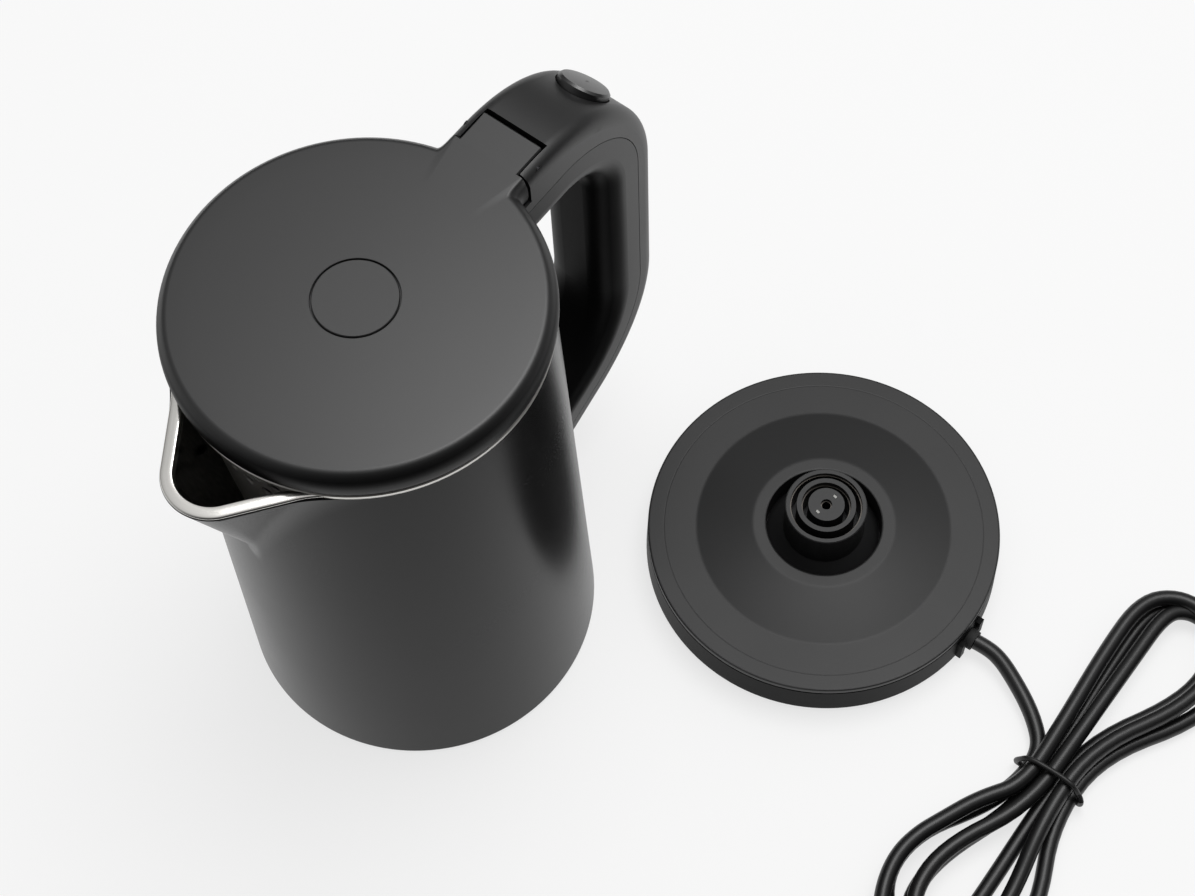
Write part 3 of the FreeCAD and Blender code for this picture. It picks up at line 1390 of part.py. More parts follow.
    inner_in = "(inner_ring_radius - connector_wall)"
    outer_in = "(connector_radius - connector_wall)"
    flange_low = "(well_floor - connector_flange_thickness)"
    body = turned("connector_form", [
        ("0", "connector_hub_bottom"),
        ("connector_hub_radius", "connector_hub_bottom"),
        ("connector_hub_radius", flange_low),
        ("connector_flange_radius", flange_low),
        ("connector_flange_radius", "well_floor"),
        ("well_radius - fit_gap", "well_floor"),
        ("well_radius - fit_gap", "well_floor + 1"),
        ("connector_radius", "connector_shoulder"),
        ("connector_radius", "connector_top - 0.4"),
        ("connector_radius - 0.4", "connector_top"),
        (outer_in, "connector_top"),
        (outer_in, "connector_groove_floor"),
        ("inner_ring_radius", "connector_groove_floor"),
        ("inner_ring_radius", "connector_top + inner_ring_rise"),
        (inner_in, "connector_top + inner_ring_rise"),
        (inner_in, "connector_groove_floor"),
        ("post_radius", "connector_groove_floor"),
        ("post_radius", "connector_top + post_rise"),
        ("post_hole_radius", "connector_top + post_rise"),
        ("post_hole_radius", "connector_groove_floor"),
        ("0", "connector_groove_floor"),
    ])
    keep(on_base(cut("connector_body", body, *flange_holes)), "connector_body")
    keep(on_base(group("connector_screws", *connector_screws)), "connector_screws")
    low = "(connector_groove_floor + 2)"
    high = "(connector_top - 1.5)"
    contacts = [
        ring("earth_contact", outer_in + " - contact_gap - contact_thickness", outer_in + " - contact_gap",
             low, high),
        ring("ring_contact", inner_in + " - contact_gap - contact_thickness", inner_in + " - contact_gap",
             low, high),
        ring("post_contact", "post_hole_radius - contact_gap - contact_thickness",
             "post_hole_radius - contact_gap",
             "connector_groove_floor", "connector_top"),
    ]
    keep(on_base(group("connector_contacts", *contacts)), "connector_contacts")


def make_outlet():
    relief = doc.addObject("Part::Cone", "strain_relief")
    relief.setExpression("Radius1", bound("relief_large_radius - fit_gap"))
    relief.setExpression("Radius2", bound("relief_small_radius"))
    relief.setExpression("Height", bound("relief_end - relief_start"))
    relief.Placement = FreeCAD.Placement(V(), FreeCAD.Rotation(UP, V(0, -1, 0)))
    place(relief, "base_x", "base_y - relief_start", "outlet_z")
    keep(relief, "strain_relief")

    low = "(outlet_z + relief_large_radius)"
    middle = "(0 - relief_start - clamp_half_width)"
    bar = box("clamp_bar", ("0 - clamp_half_length", middle + " - clamp_half_width", low),
              ("clamp_half_length", middle + " + clamp_half_width", low + " + clamp_thickness"))
    holes = []
    screws = []
    for side in ("", "-"):
        name = "left" if side else "right"
        holes.append(cylinder("clamp_hole_" + name, "screw_radius + thread_gap", "clamp_thickness",
                              side + "clamp_screw_spacing", middle, low))
        screws.append(screw("clamp_screw_" + name, side + "clamp_screw_spacing", middle,
                            low + " + clamp_thickness",
                            UP * -1, "screw_length - 1"))
    keep(on_base(cut("cord_clamp", bar, *holes)), "cord_clamp")
    keep(on_base(group("clamp_screws", *screws)), "clamp_screws")

    wires = []
    centre = V(val("base_x"), val("base_y"), 0)
    start_y = -val("relief_start - fit_gap")
    end_y = -val("connector_hub_radius + fit_gap")
    for side in (-1, 0, 1):
        spread = 3.0 * val("base_wire_radius") * side
        near = 1.15 * val("base_wire_radius") * side * 2
        height = val("outlet_z")
        points = [
            centre + V(near, start_y, height),
            centre + V(near, start_y + 8, height - 0.4),
            centre + V(spread, (start_y + end_y) / 2, height - 1.0),
            centre + V(spread * 0.9, end_y - 6, height - 0.6),
            centre + V(spread * 0.9, end_y, height - 0.5),
        ]
        wires.append(tube(points, val("base_wire_radius"), "base wire"))
    feature("base_wires", Part.makeCompound(wires))


# Lead, hank, tie and plug

# Hand-chosen route of the lead, counted across the table from the outlet's end
LEAD_STEPS = [
    (0.0, 0.0, 8.0),
    (0.0, -9.7, 8.0),
    (-2.6, -21.7, 6.6),
    (-8.9, -32.4, 5.5),
    (-17.6, -40.2, 5.1),
    (-28.0, -44.2, 5.1),
    (-38.4, -44.2, 4.9),
]
# Hand-chosen route of the lead's end, counted across the table from the hank's waist to the plug
TAIL_STEPS = [
    (-43.0, 25.8, 12.1),
    (-54.0, 29.6, 12.1),
    (-66.0, 31.0, 11.8),
    (-78.5, 28.8, 11.3),
    (-90.5, 23.0, 11.0),
    (-102.2, 16.4, 11.6),
    (-114.5, 12.2, 12.5),
    (-126.0, 12.2, 12.5),
]
LEAD_ROUTE = [(val("base_x") + x, val("base_y - relief_end") + y, z) for x, y, z in LEAD_STEPS]
TAIL_ROUTE = [(val("hank_x") + x, val("hank_y") + y, z) for x, y, z in TAIL_STEPS]


def hank_stations():
    """Points and headings of a cord folded in three loops and drawn in at the waist.

    Along the hank is +X, and across it is +Y. The loops spiral in on the table, climb along one run
    and spiral out again on top.
    """
    waist = V(val("hank_x"), val("hank_y"), val("cord_radius"))
    pitch = val(STRAND_PITCH)
    layer = val(LAYER_STEP)
    lift = val("tie_lift")
    # Each bend: centre along and across the hank, radius, and height at its start, middle and end
    bends = [
        (-64.0, 2.5, 28.5, 0.0, 0.0, 0.0),
        (84.0, -12.2, 20.9, 0.0, 0.0, 0.0),
        (-72.0, 6.5, 11.5, 0.0, 0.0, 0.0),
        (82.0, -8.9, 13.6, 0.0, 0.55 * layer, 1.1 * layer),
        (-69.0, 1.25, 16.25, 1.25 * layer, 1.25 * layer, 0.3 * layer),
        (84.0, -8.2, 21.2, 1.12 * layer, 1.25 * layer, 1.25 * layer),
    ]
    # Where each run passes the waist, across the hank in pitches, and its layer there
    slots = [(-1.53, 0.0), (0.47, 0.0), (-0.53, 0.0), (0.0, 1.06), (-1.03, 1.06), (1.06, 1.12)]
    lead_end = V(*LEAD_ROUTE[-1])
    lead_heading = (lead_end - V(*LEAD_ROUTE[-2])).normalize()
    diameter = 2 * val("cord_radius")
    stations = [(lead_end, lead_heading), (lead_end + lead_heading * diameter, lead_heading)]
    for (along, across, radius, low, middle, high), (slot, level) in zip(bends, slots):
        centre = waist + V(along, across, 0)
        outward = math.copysign(1, along)
        heading = V(outward, 0, 0)
        stations.append((centre + V(0, -outward * radius, low), heading))
        stations.append((centre + V(outward * radius, 0, middle), V(0, outward, 0)))
        stations.append((centre + V(0, outward * radius, high), heading * -1))
        stations.append((waist + V(0, slot * pitch, lift + level * layer), heading * -1))
    tail_start = V(*TAIL_ROUTE[0])
    tail_heading = (V(*TAIL_ROUTE[1]) - tail_start).normalize()
    stations.append((tail_start - tail_heading * diameter, tail_heading))
    stations.append((tail_start, tail_heading))
    return stations


def make_cord():
    radius = val("cord_radius")
    feature("cord_lead", tube([V(*point) for point in LEAD_ROUTE], radius, "lead"))
    path = looped_path(hank_stations())
    hank = sweep_circle(path, radius)
    print("hank length %.1f volume ratio %.5f least gap %.2f lowest %.2f" % (
        path.Length, hank.Volume / (math.pi * radius ** 2 * path.Length), least_self_gap(path, radius),
        path.BoundBox.ZMin - radius))
    feature("cord_hank", hank)
    feature("cord_tail", tube([V(*point) for point in TAIL_ROUTE], radius, "tail"))

    half = "(1.5 * %s + cord_radius + tie_clearance + 2.2)" % STRAND_PITCH
    low = "tie_lift - tie_clearance"
    high = "tie_lift + 2 * cord_radius + 1.12 * %s + tie_clearance" % LAYER_STEP
    corner = "cord_radius"

    def band(name, grow):
        near = "(%s + %s)" % (half, grow)
        under = "(%s - %s)" % (low, grow)
        over = "(%s + %s)" % (high, grow)
        bend = "(%s + %s)" % (corner, grow)
        body = doc.addObject("PartDesign::Body", name)
        sketch = sketch_on(body, "YZ_Plane", name + "_profile")
        draw(sketch, [
            ("0 - %s + %s" % (near, bend), under),
            ("%s - %s" % (near, bend), under, bend, LEFT),
            (near, "%s + %s" % (under, bend)),
            (near, "%s - %s" % (over, bend), bend, LEFT),
            ("%s - %s" % (near, bend), over),
            ("0 - %s + %s" % (near, bend), over, bend, LEFT),
            ("0 - %s" % near, "%s - %s" % (over, bend)),
            ("0 - %s" % near, "%s + %s" % (under, bend), bend, LEFT),
        ])
        pad = body.newObject("PartDesign::Pad", name + "_pad")
        pad.Profile = sketch
        pad.SideType = "Symmetric"
        pad.setExpression("Length", bound("2 * tie_half_width"))
        return body

    tie = cut("cord_tie", band("tie_outside", "tie_thickness"), band("tie_inside", "0"))
    keep(place(tie, "hank_x", "hank_y"), "cord_tie")


def make_plug():
    middle = "(plug_height / 2)"
    block = plan_cut("plug_block", [
        ("0 - plug_neck_length", "0 - plug_half_width * 0.62"),
        ("0 - plug_neck_length", "plug_half_width * 0.62"),
        ("0 - plug_length + plug_neck_length / 2", "plug_half_width"),
        ("0 - plug_length", "plug_half_width"),
        ("0 - plug_length", "0 - plug_half_width"),
        ("0 - plug_length + plug_neck_length / 2", "0 - plug_half_width"),
    ], "0", "plug_height")
    round_edges(block, "plug_neck_radius / 2", lambda edge: abs(edge.tangentAt(edge.FirstParameter).z) > 0.99)
    neck = doc.addObject("Part::Cone", "plug_neck")
    neck.setExpression("Radius1", bound("cord_radius + 1"))
    neck.setExpression("Radius2", bound("plug_neck_radius + 1"))
    neck.setExpression("Height", bound("plug_neck_length + 1"))
    neck.Placement = FreeCAD.Placement(V(), FreeCAD.Rotation(UP, V(-1, 0, 0)))
    place(neck, z=middle)
    keep(place(join("plug_whole", block, neck), "plug_x", "plug_y"), "plug_body")

    blades = []
    for name, across, rise, turn in (("line", "blade_spacing", "blade_spacing * 0.3", 30),
                                     ("neutral", "0 - blade_spacing", "blade_spacing * 0.3", -30),
                                     ("earth", "0", "0 - blade_spacing * 0.85", 0)):
        blade = doc.addObject("Part::Box", "blade_" + name)
        blade.setExpression("Length", bound("blade_length"))
        blade.setExpression("Width", bound("blade_thickness"))
        blade.setExpression("Height", bound("blade_width"))
        blade.Placement = FreeCAD.Placement(V(), FreeCAD.Rotation(V(1, 0, 0), turn))
        place(blade, "0 - plug_length - blade_length", across, "%s + %s - blade_width / 2" % (middle, rise))
        blades.append(blade)
    keep(place(group("plug_pins", *blades), "plug_x", "plug_y"), "plug_pins")


make_outer_shell()
make_inner_pot()
make_spout_beak()
make_handle()
make_catch_and_button()
make_switches()
make_handle_tubes()
make_heater()
make_control()
make_bottom_cover()
make_lid()
make_base()
make_outlet()
make_cord()
make_plug()
doc.recompute()

# Every object must be sound before anything is written
faults = [item.Label for item in doc.Objects if "Invalid" in item.State or "Error" in item.State]
for node in NODES:
    if node.Shape.isNull() or not node.Shape.isValid() or not node.Shape.Solids:
        faults.append(node.Label + " shape")
if faults:
    raise RuntimeError("faulty objects: " + ", ".join(faults))

os.makedirs("parts", exist_ok=True)
for node in NODES:
    node.Shape.exportStep("parts/%s.step" % node.Label)
    print("%-22s solids %d volume %.1f" % (node.Label, len(node.Shape.Solids), node.Shape.Volume))
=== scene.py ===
import math

import bmesh
import bpy
from mathutils import Matrix, Vector


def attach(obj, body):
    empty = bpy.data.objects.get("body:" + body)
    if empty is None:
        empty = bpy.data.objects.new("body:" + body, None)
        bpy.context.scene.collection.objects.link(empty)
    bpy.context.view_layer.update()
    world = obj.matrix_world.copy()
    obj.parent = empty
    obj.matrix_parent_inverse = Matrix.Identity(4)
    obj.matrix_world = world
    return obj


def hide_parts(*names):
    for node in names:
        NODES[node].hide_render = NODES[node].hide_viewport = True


bl_info = {
    "name": "Electric kettle",
    "version": (1, 0, 0),
    "blender": (4, 5, 0),
    "location": "View3D > Sidebar > Kettle",
    "description": "Finishes, lead and studio for a cordless electric kettle and its power base",
    "category": "Object",
}

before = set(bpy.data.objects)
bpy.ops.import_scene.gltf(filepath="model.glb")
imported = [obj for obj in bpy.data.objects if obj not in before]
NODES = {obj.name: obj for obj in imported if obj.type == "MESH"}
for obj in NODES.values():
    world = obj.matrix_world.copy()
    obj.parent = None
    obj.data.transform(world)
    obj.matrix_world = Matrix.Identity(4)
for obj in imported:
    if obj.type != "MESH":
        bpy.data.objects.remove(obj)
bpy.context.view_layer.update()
MM = 0.001
# Middle of the power base on the table, in millimetres
BASE_CENTRE = (119.4, -125.8)
# Edges bent by more than this many degrees stay crisp
CRISP_EDGE = 38.0
# Corners of a square, in order round it
SQUARE = ((1, 1), (-1, 1), (-1, -1), (1, -1))


# Settings

class KettleSizes(bpy.types.PropertyGroup):
    """Sizes of the pieces made here"""

    wall_top_radius: bpy.props.FloatProperty(
        name="Wall radius at the rim", description="Outside radius of the kettle's wall under its rim",
        default=0.0674, unit="LENGTH")
    wall_foot_radius: bpy.props.FloatProperty(
        name="Wall radius at the foot", description="Outside radius of the kettle's wall at its foot",
        default=0.074, unit="LENGTH")
    spout_reach: bpy.props.FloatProperty(
        name="Spout reach", description="From the kettle's axis to the tip of the lip",
        default=0.092, unit="LENGTH")
    lip_width: bpy.props.FloatProperty(
        name="Lip width", description="Width of the pouring lip seen from above",
        default=0.0049, unit="LENGTH")
    lid_radius: bpy.props.FloatProperty(
        name="Lid radius", description="Outside radius of the lid",
        default=0.0689, unit="LENGTH")
    tie_diameter: bpy.props.FloatProperty(
        name="Tie diameter", description="Thickness of the wire tie round the hank",
        default=0.0023, unit="LENGTH")
    screw_head_diameter: bpy.props.FloatProperty(
        name="Screw head", description="Diameter of the screw heads",
        default=0.0058, unit="LENGTH")
    cord_diameter: bpy.props.FloatProperty(
        name="Cord diameter", description="Outside diameter of the mains lead",
        default=0.0068, unit="LENGTH")
    cord_length: bpy.props.FloatProperty(
        name="Cord length", description="Length from the base to the plug",
        default=1.48, unit="LENGTH")


class KettleFinishes(bpy.types.PropertyGroup):
    """Colours of the finishes"""

    black_plastic: bpy.props.FloatVectorProperty(
        name="Black plastic", description="Matt moulding of the kettle, lid and base", subtype="COLOR",
        default=(0.0058, 0.0058, 0.006))
    satin_plastic: bpy.props.FloatVectorProperty(
        name="Satin plastic", description="Button, cap and connector", subtype="COLOR",
        default=(0.0058, 0.0058, 0.006))
    steel: bpy.props.FloatVectorProperty(
        name="Steel", description="Pot, rim and pouring beak",
        subtype="COLOR", default=(0.75, 0.735, 0.705))
    sheath: bpy.props.FloatVectorProperty(
        name="Cord sheath", description="Soft jacket of the mains lead", subtype="COLOR",
        default=(0.006, 0.006, 0.0062))


class KettleStage(bpy.types.PropertyGroup):
    """Light and floor"""

    floor_tone: bpy.props.FloatVectorProperty(
        name="Floor", description="Pale sweep under the kettle",
        subtype="COLOR", default=(1.0, 1.0, 1.0))
    floor_glow: bpy.props.FloatProperty(
        name="Floor glow", description="Share of the floor that shows at its own tone",
        subtype="FACTOR", default=0.72)
    floor_front: bpy.props.FloatProperty(
        name="Floor front", description="How far the pale sweep is mirrored in front of the kettle",
        default=0.42, unit="LENGTH")
    key_light: bpy.props.FloatProperty(
        name="Key light", description="Power of the soft lamp over the lid",
        default=13.5, unit="POWER")
    key_size: bpy.props.FloatProperty(
        name="Key size", description="Width of the soft lamp",
        default=1.1, unit="LENGTH")
    sky_top: bpy.props.FloatProperty(
        name="Sky overhead", description="Strength of the light from above", default=0.9)
    sky_low: bpy.props.FloatProperty(
        name="Sky at the sides", description="Strength of the light from the side", default=0.015)
    sky_left: bpy.props.FloatProperty(
        name="Sky at the left", description="Strength of the light from the left", default=0.4)


# Shader maths

def math_method(operation, reflected=False):
    """Operator that adds one Math node, with its values in order or swapped"""
    def method(self, other):
        return self.math(operation, *((other, self) if reflected else (self, other)))
    return method


class Field:
    """One value of a finish, which a Python expression turns into Math nodes"""

    def __init__(self, sheet, socket):
        self.sheet = sheet
        self.socket = socket

    def math(self, operation, first, second=0.0):
        return self.sheet.node("ShaderNodeMath", {"operation": operation}, {0: first, 1: second})

    def __abs__(self):
        return self.math("ABSOLUTE", self)

    __add__, __radd__ = math_method("ADD"), math_method("ADD", True)
    __sub__, __rsub__ = math_method("SUBTRACT"), math_method("SUBTRACT", True)
    __mul__, __rmul__ = math_method("MULTIPLY"), math_method("MULTIPLY", True)
    __truediv__, __pow__ = math_method("DIVIDE"), math_method("POWER")
    __gt__, __lt__ = math_method("GREATER_THAN"), math_method("LESS_THAN")
    at_least, at_most = math_method("MAXIMUM"), math_method("MINIMUM")


class NodeSheet:
    """A node tree and the one way to add nodes to it"""

    def __init__(self, tree):
        self.tree = tree
        self.tree.nodes.clear()

    def node(self, kind, settings=None, sockets=None, output=0):
        """Add a node, set its settings first, then its sockets, and return one of its outputs"""
        made = self.tree.nodes.new(kind)
        for key, value in (settings or {}).items():
            setattr(made, key, value)
        for key, value in (sockets or {}).items():
            fields = value if isinstance(value, list) else [value]
            for field in fields:
                if isinstance(field, Field):
                    self.tree.links.new(field.socket, made.inputs[key])
                else:
                    made.inputs[key].default_value = field
        return Field(self, made.outputs[output]) if made.outputs else None

    def along(self, place, heading):
        """How far a place lies along a heading"""
        return self.node("ShaderNodeVectorMath", {"operation": "DOT_PRODUCT"}, {
            0: place, 1: heading}, output="Value")


class GeometrySheet(NodeSheet):
    """A Geometry Nodes group with named inputs, run on a mesh of points"""

    def __init__(self, name, **inputs):
        super().__init__(bpy.data.node_groups.new(name, "GeometryNodeTree"))
        face = self.tree.interface
        face.new_socket("Geometry", in_out="INPUT", socket_type="NodeSocketGeometry")
        face.new_socket("Geometry", in_out="OUTPUT", socket_type="NodeSocketGeometry")
        self.values = {}
        for label, value in inputs.items():
            socket = face.new_socket(label, in_out="INPUT", socket_type="NodeSocketFloat")
            self.values[socket.identifier] = value
        self.given = self.tree.nodes.new("NodeGroupInput")

    def input(self, label):
        return Field(self, self.given.outputs[label])

    def vector(self, x=0.0, y=0.0, z=0.0):
        return self.node("ShaderNodeCombineXYZ", None, {"X": x, "Y": y, "Z": z})

    def attribute(self, label, kind="FLOAT"):
        return self.node("GeometryNodeInputNamedAttribute", {"data_type": kind}, {"Name": label})

    def spread(self, shape, scale):
        """Set one copy of a shape on each point, upright along the point's axis"""
        facing = self.node("FunctionNodeAlignRotationToVector", {"axis": "Z"}, {
            "Vector": self.attribute("axis", "FLOAT_VECTOR")})
        return self.node("GeometryNodeInstanceOnPoints", None, {
            "Points": self.input("Geometry"), "Instance": shape, "Rotation": facing, "Scale": scale})

    def close(self, geometry, material):
        """Make the copies plain geometry, give them their finish and end the group"""
        whole = self.node("GeometryNodeRealizeInstances", None, {"Geometry": geometry})
        dressed = self.node("GeometryNodeSetMaterial", None, {"Geometry": whole, "Material": material})
        self.node("NodeGroupOutput", None, {0: dressed})
        return self

    def make(self, name, points, sharp=CRISP_EDGE):
        """Run the group on points, each with its place, axis and size, and keep a plain mesh"""
        mesh = bpy.data.meshes.new(name + "_points")
        mesh.from_pydata([[MM * part for part in place] for place, axis, size in points], [], [])
        axes = mesh.attributes.new("axis", "FLOAT_VECTOR", "POINT")
        axes.data.foreach_set("vector", [part for place, axis, size in points for part in axis])
        sizes = mesh.attributes.new("size", "FLOAT", "POINT")
        sizes.data.foreach_set("value", [MM * size for place, axis, size in points])
        carrier = link(bpy.data.objects.new(name, mesh))
        modifier = carrier.modifiers.new("nodes", "NODES")
        modifier.node_group = self.tree
        for identifier, value in self.values.items():
            modifier[identifier] = value
        made = plain_mesh(name, carrier)
        made.set_sharp_from_angle(angle=math.radians(sharp))
        return made


class Finish(NodeSheet):
    """A procedural material"""

    def __init__(self, name):
        self.material = bpy.data.materials.new(name)
        self.material.use_nodes = True
        super().__init__(self.material.node_tree)
        self.place = self.node("ShaderNodeTexCoord", output="Object")

    def noise(self, scale, detail=2.0, roughness=0.5, place=None):
        return self.node("ShaderNodeTexNoise", None, {
            "Vector": place or self.place, "Scale": scale, "Detail": detail, "Roughness": roughness})

    def mix(self, factor, first, second):
        """Mix two colours; the sockets go by number, because their names repeat"""
        return self.node("ShaderNodeMix", {"data_type": "RGBA"}, {
            0: factor, 6: first, 7: second}, output=2)

    def bump(self, height, distance, strength):
        return self.node("ShaderNodeBump", None, {
            "Height": height, "Distance": distance, "Strength": strength})

    def surface(self, **sockets):
        """Close the material with one Principled shader"""
        named = {}
        for key, value in sockets.items():
            named[key.replace("_", " ").title().replace("Ior", "IOR")] = value
        shader = self.node("ShaderNodeBsdfPrincipled", None, named)
        self.node("ShaderNodeOutputMaterial", None, {"Surface": shader})
        return self.material


def tone(colour, factor=1.0):
    """Opaque colour, made lighter or darker by a factor"""
    return tuple(min(1.0, part * factor) for part in colour) + (1.0,)


def link(obj):
    bpy.context.scene.collection.objects.link(obj)
    return obj


# Finishes

# Distances over which a sheen and the bright part of a steel come in
SHEEN_SPAN, BRIGHT_SPAN = 0.0022, 0.0008
SHEEN_IOR = 1.57
# Draws the streaks of rolled steel out along its height
STREAK_STRETCH = (1.0, 1.0, 0.05)


def beyond(finish, axis, start, span):
    """Share of the way past a distance along an axis, from 0 to 1 over a span"""
    along = finish.node("ShaderNodeSeparateXYZ", None, {"Vector": finish.place}, output=axis)
    share = (abs(along) - start) * (1.0 / span)
    return share.at_least(0.0).at_most(1.0)


def moulded_plastic(name, colour, roughness, gloss, grain=0.00055, depth=0.00003, sheen=None):
    """Spark-eroded moulding with a fine even grain and a slow drift in gloss

    A sheen may lie on it past a distance along an axis: axis, distance and weight.
    """
    finish = Finish(name)
    fine = finish.noise(1.0 / grain, detail=3.0, roughness=0.6)
    drift = finish.noise(18.0)
    coat = {}
    if sheen:
        axis, start, weight = sheen
        coat = {"coat_weight": weight * beyond(finish, axis, start, SHEEN_SPAN),
                "coat_roughness": roughness, "coat_ior": SHEEN_IOR}
    return finish.surface(
        base_color=finish.mix(drift, tone(colour, 0.88), tone(colour, 1.12)),
        roughness=roughness - 0.06 + 0.06 * drift + 0.07 * fine,
        specular_ior_level=gloss,
        normal=finish.bump(fine, depth, strength=0.55),
        **coat,
    )


def polished_steel(name, colour, roughness, dull_and_painted_shade):
    """Bright rolled steel with faint streaks along its height

    Below a height it is darker, as painted shade inside the beak and as a duller finish in the pot:
    height, darkest and lightest tone, metal share and roughness.
    """
    finish = Finish(name)
    stretched = finish.node("ShaderNodeMapping", None, {
        "Vector": finish.place, "Scale": STREAK_STRETCH})
    streak = finish.noise(900.0, place=stretched)
    cloud = finish.noise(30.0)
    shade = finish.mix(cloud, tone(colour, 0.94), tone(colour, 1.04))
    rough = roughness - 0.03 + 0.05 * streak + 0.03 * cloud
    height, dark, light, metal, dull_roughness = dull_and_painted_shade
    bright = beyond(finish, "Z", height, BRIGHT_SPAN)
    # Darker tone below the height: painted shade in the beak, a duller steel in the pot
    dull_and_painted_shade_tone = finish.mix(streak, tone(colour, dark), tone(colour, light))
    return finish.surface(
        base_color=finish.mix(bright, dull_and_painted_shade_tone, shade),
        metallic=metal + (1.0 - metal) * bright,
        roughness=rough + (dull_roughness - roughness) * (1.0 - bright),
        normal=finish.bump(streak, 0.000003, strength=0.4),
    )


def plated_metal(name, colour, roughness, scratches):
    """Drawn or plated metal with small scratches"""
    finish = Finish(name)
    scratch = finish.noise(scratches, detail=3.0, roughness=0.7)
    cloud = finish.noise(120.0)
    return finish.surface(
        base_color=finish.mix(cloud, tone(colour, 0.86), tone(colour, 1.06)),
        metallic=1.0,
        roughness=roughness - 0.08 + 0.12 * cloud + 0.06 * scratch,
        normal=finish.bump(scratch, 0.00001, strength=0.5),
    )


def soft_sheath(name, colour, roughness):
    """Soft drawn jacket or rubber with a powdery bloom"""
    finish = Finish(name)
    skin = finish.noise(1100.0, detail=3.0, roughness=0.6)
    bloom = finish.noise(60.0, detail=3.0, roughness=0.6)
    return finish.surface(
        base_color=finish.mix(bloom, tone(colour, 0.85), tone(colour, 1.25)),
        roughness=roughness - 0.05 + 0.1 * bloom,
        normal=finish.bump(skin, 0.00003, strength=0.5),
    )


FINISHES = {}


def make_finishes(chosen):
    """Mix every finish in the chosen colours and keep it by its name"""
    black = tuple(chosen.black_plastic)
    satin = tuple(chosen.satin_plastic)
    for name, colour, roughness, gloss, more in (
            ("shell_plastic", black, 0.25, 0.105, {}),
            ("lid_plastic", black, 0.42, 0.13, {"sheen": ("Z", 0.245, 1.0)}),
            ("cap_plastic", satin, 0.42, 0.74, {"grain": 0.0004}),
            ("handle_plastic", black, 0.42, 0.75, {}),
            ("grip_plastic", black, 0.4, 0.04, {"sheen": ("Y", 0.0152, 0.65)}),
            ("button_plastic", satin, 0.31, 1.0, {"grain": 0.0004, "depth": 0.00002}),
            ("base_plastic", black, 0.42, 0.4, {}),
            ("connector_plastic", tone(satin, 3.0)[:3], 0.45, 0.4, {"grain": 0.0004}),
            ("edge_plastic", black, 0.42, 0.05, {}),
            ("inner_plastic", (0.05, 0.05, 0.052), 0.5, 0.4, {"grain": 0.0009})):
        FINISHES[name] = moulded_plastic(name, colour, roughness, gloss, **more)
    for name, roughness, dull_and_painted_shade in (
            # The beak's steel is darkened below the lip as painted shade inside the spout
            ("beak_steel", 0.16, (0.2304, 0.16, 0.5, 1.0, 0.16)),
            # The pot's steel is duller, rougher and partly diffuse below its rim
            ("pot_steel", 0.3, (0.2326, 0.8, 0.9, 0.58, 0.42))):
        FINISHES[name] = polished_steel(name, tuple(chosen.steel), roughness, dull_and_painted_shade)
    for name, colour, roughness, scratches in (
            # Contacts far darker than brass: painted shade deep in the connectors
            ("contact_brass", (0.06, 0.055, 0.05), 0.34, 1400.0),
            ("tinned_tip", (0.2, 0.2, 0.19), 0.42, 1400.0),
            ("pin_brass", (0.78, 0.62, 0.36), 0.3, 1400.0),
            ("blackened_steel", (0.04, 0.04, 0.042), 0.36, 1400.0),
            ("spring_steel", (0.5, 0.5, 0.51), 0.3, 1400.0),
            ("fixing_steel", (0.6, 0.6, 0.6), 0.34, 1400.0),
            ("heater_aluminium", (0.72, 0.73, 0.74), 0.48, 500.0)):
        FINISHES[name] = plated_metal(name, colour, roughness, scratches)
    for name, colour, roughness in (
            ("silicone", (0.5, 0.51, 0.5), 0.55),
            ("foot_rubber", (0.022, 0.022, 0.022), 0.75),
            ("wire_sheath", (0.42, 0.1, 0.05), 0.45),
            ("cord_sheath", tuple(chosen.sheath), 0.36),
            ("tie_sheath", (0.006, 0.006, 0.006), 0.45)):
        FINISHES[name] = soft_sheath(name, colour, roughness)


def dress(obj, finish):
    """Give a piece one finish"""
    obj.data.materials.clear()
    obj.data.materials.append(FINISHES[finish])


def dress_nodes(finishes):
    """Give CAD nodes their finishes from a table"""
    for finish, names in finishes.items():
        for name in names:
            dress(NODES[name], finish)


# Stage

# Camera: its place, its turn, pitch and roll in degrees, and its lens and frame in pixels
CAMERA_SPOT = (-0.259205, -0.32485, 0.929508)
CAMERA_ANGLES = (49.526, 63.075, -3.4)
LENS_PIXELS, FRAME_PIXELS = 2337.4, 1195.0
SENSOR_WIDTH = 36.0
NEAR_CLIP = 0.01
# Headings of the view along the floor
LEVEL_AHEAD = Vector((0.759, 0.651, 0.0))
LEVEL_RIGHT = Vector((0.651, -0.759, 0.0))
# Floor: half its width, and the dark tone that only gloss sees in front of the pale sweep, a painted
# dark reflection
FLOOR_HALF = 4.0
FLOOR_FRONT_PAINTED_REFLECTION = (0.03, 0.03, 0.03)
# Lamp: its place and what it points at
KEY_SPOT = Vector((0.51, -0.05, 1.75))
KEY_AIM = Vector((0.04, -0.06, 0.1))
# Sky: its brightest headings, how fast it falls off from each, and the tone of the backdrop
SKY_LEFT = (Vector((0.0, 0.0, 0.3)) - LEVEL_RIGHT).normalized()
SKY_MIDDLE = (Vector((0.0, 0.0, 1.0)) + 0.3 * LEVEL_AHEAD + 0.2 * LEVEL_RIGHT).normalized()
LEFT_FALL, MIDDLE_FALL = 3.0, 2.6
BACKDROP = 0.86


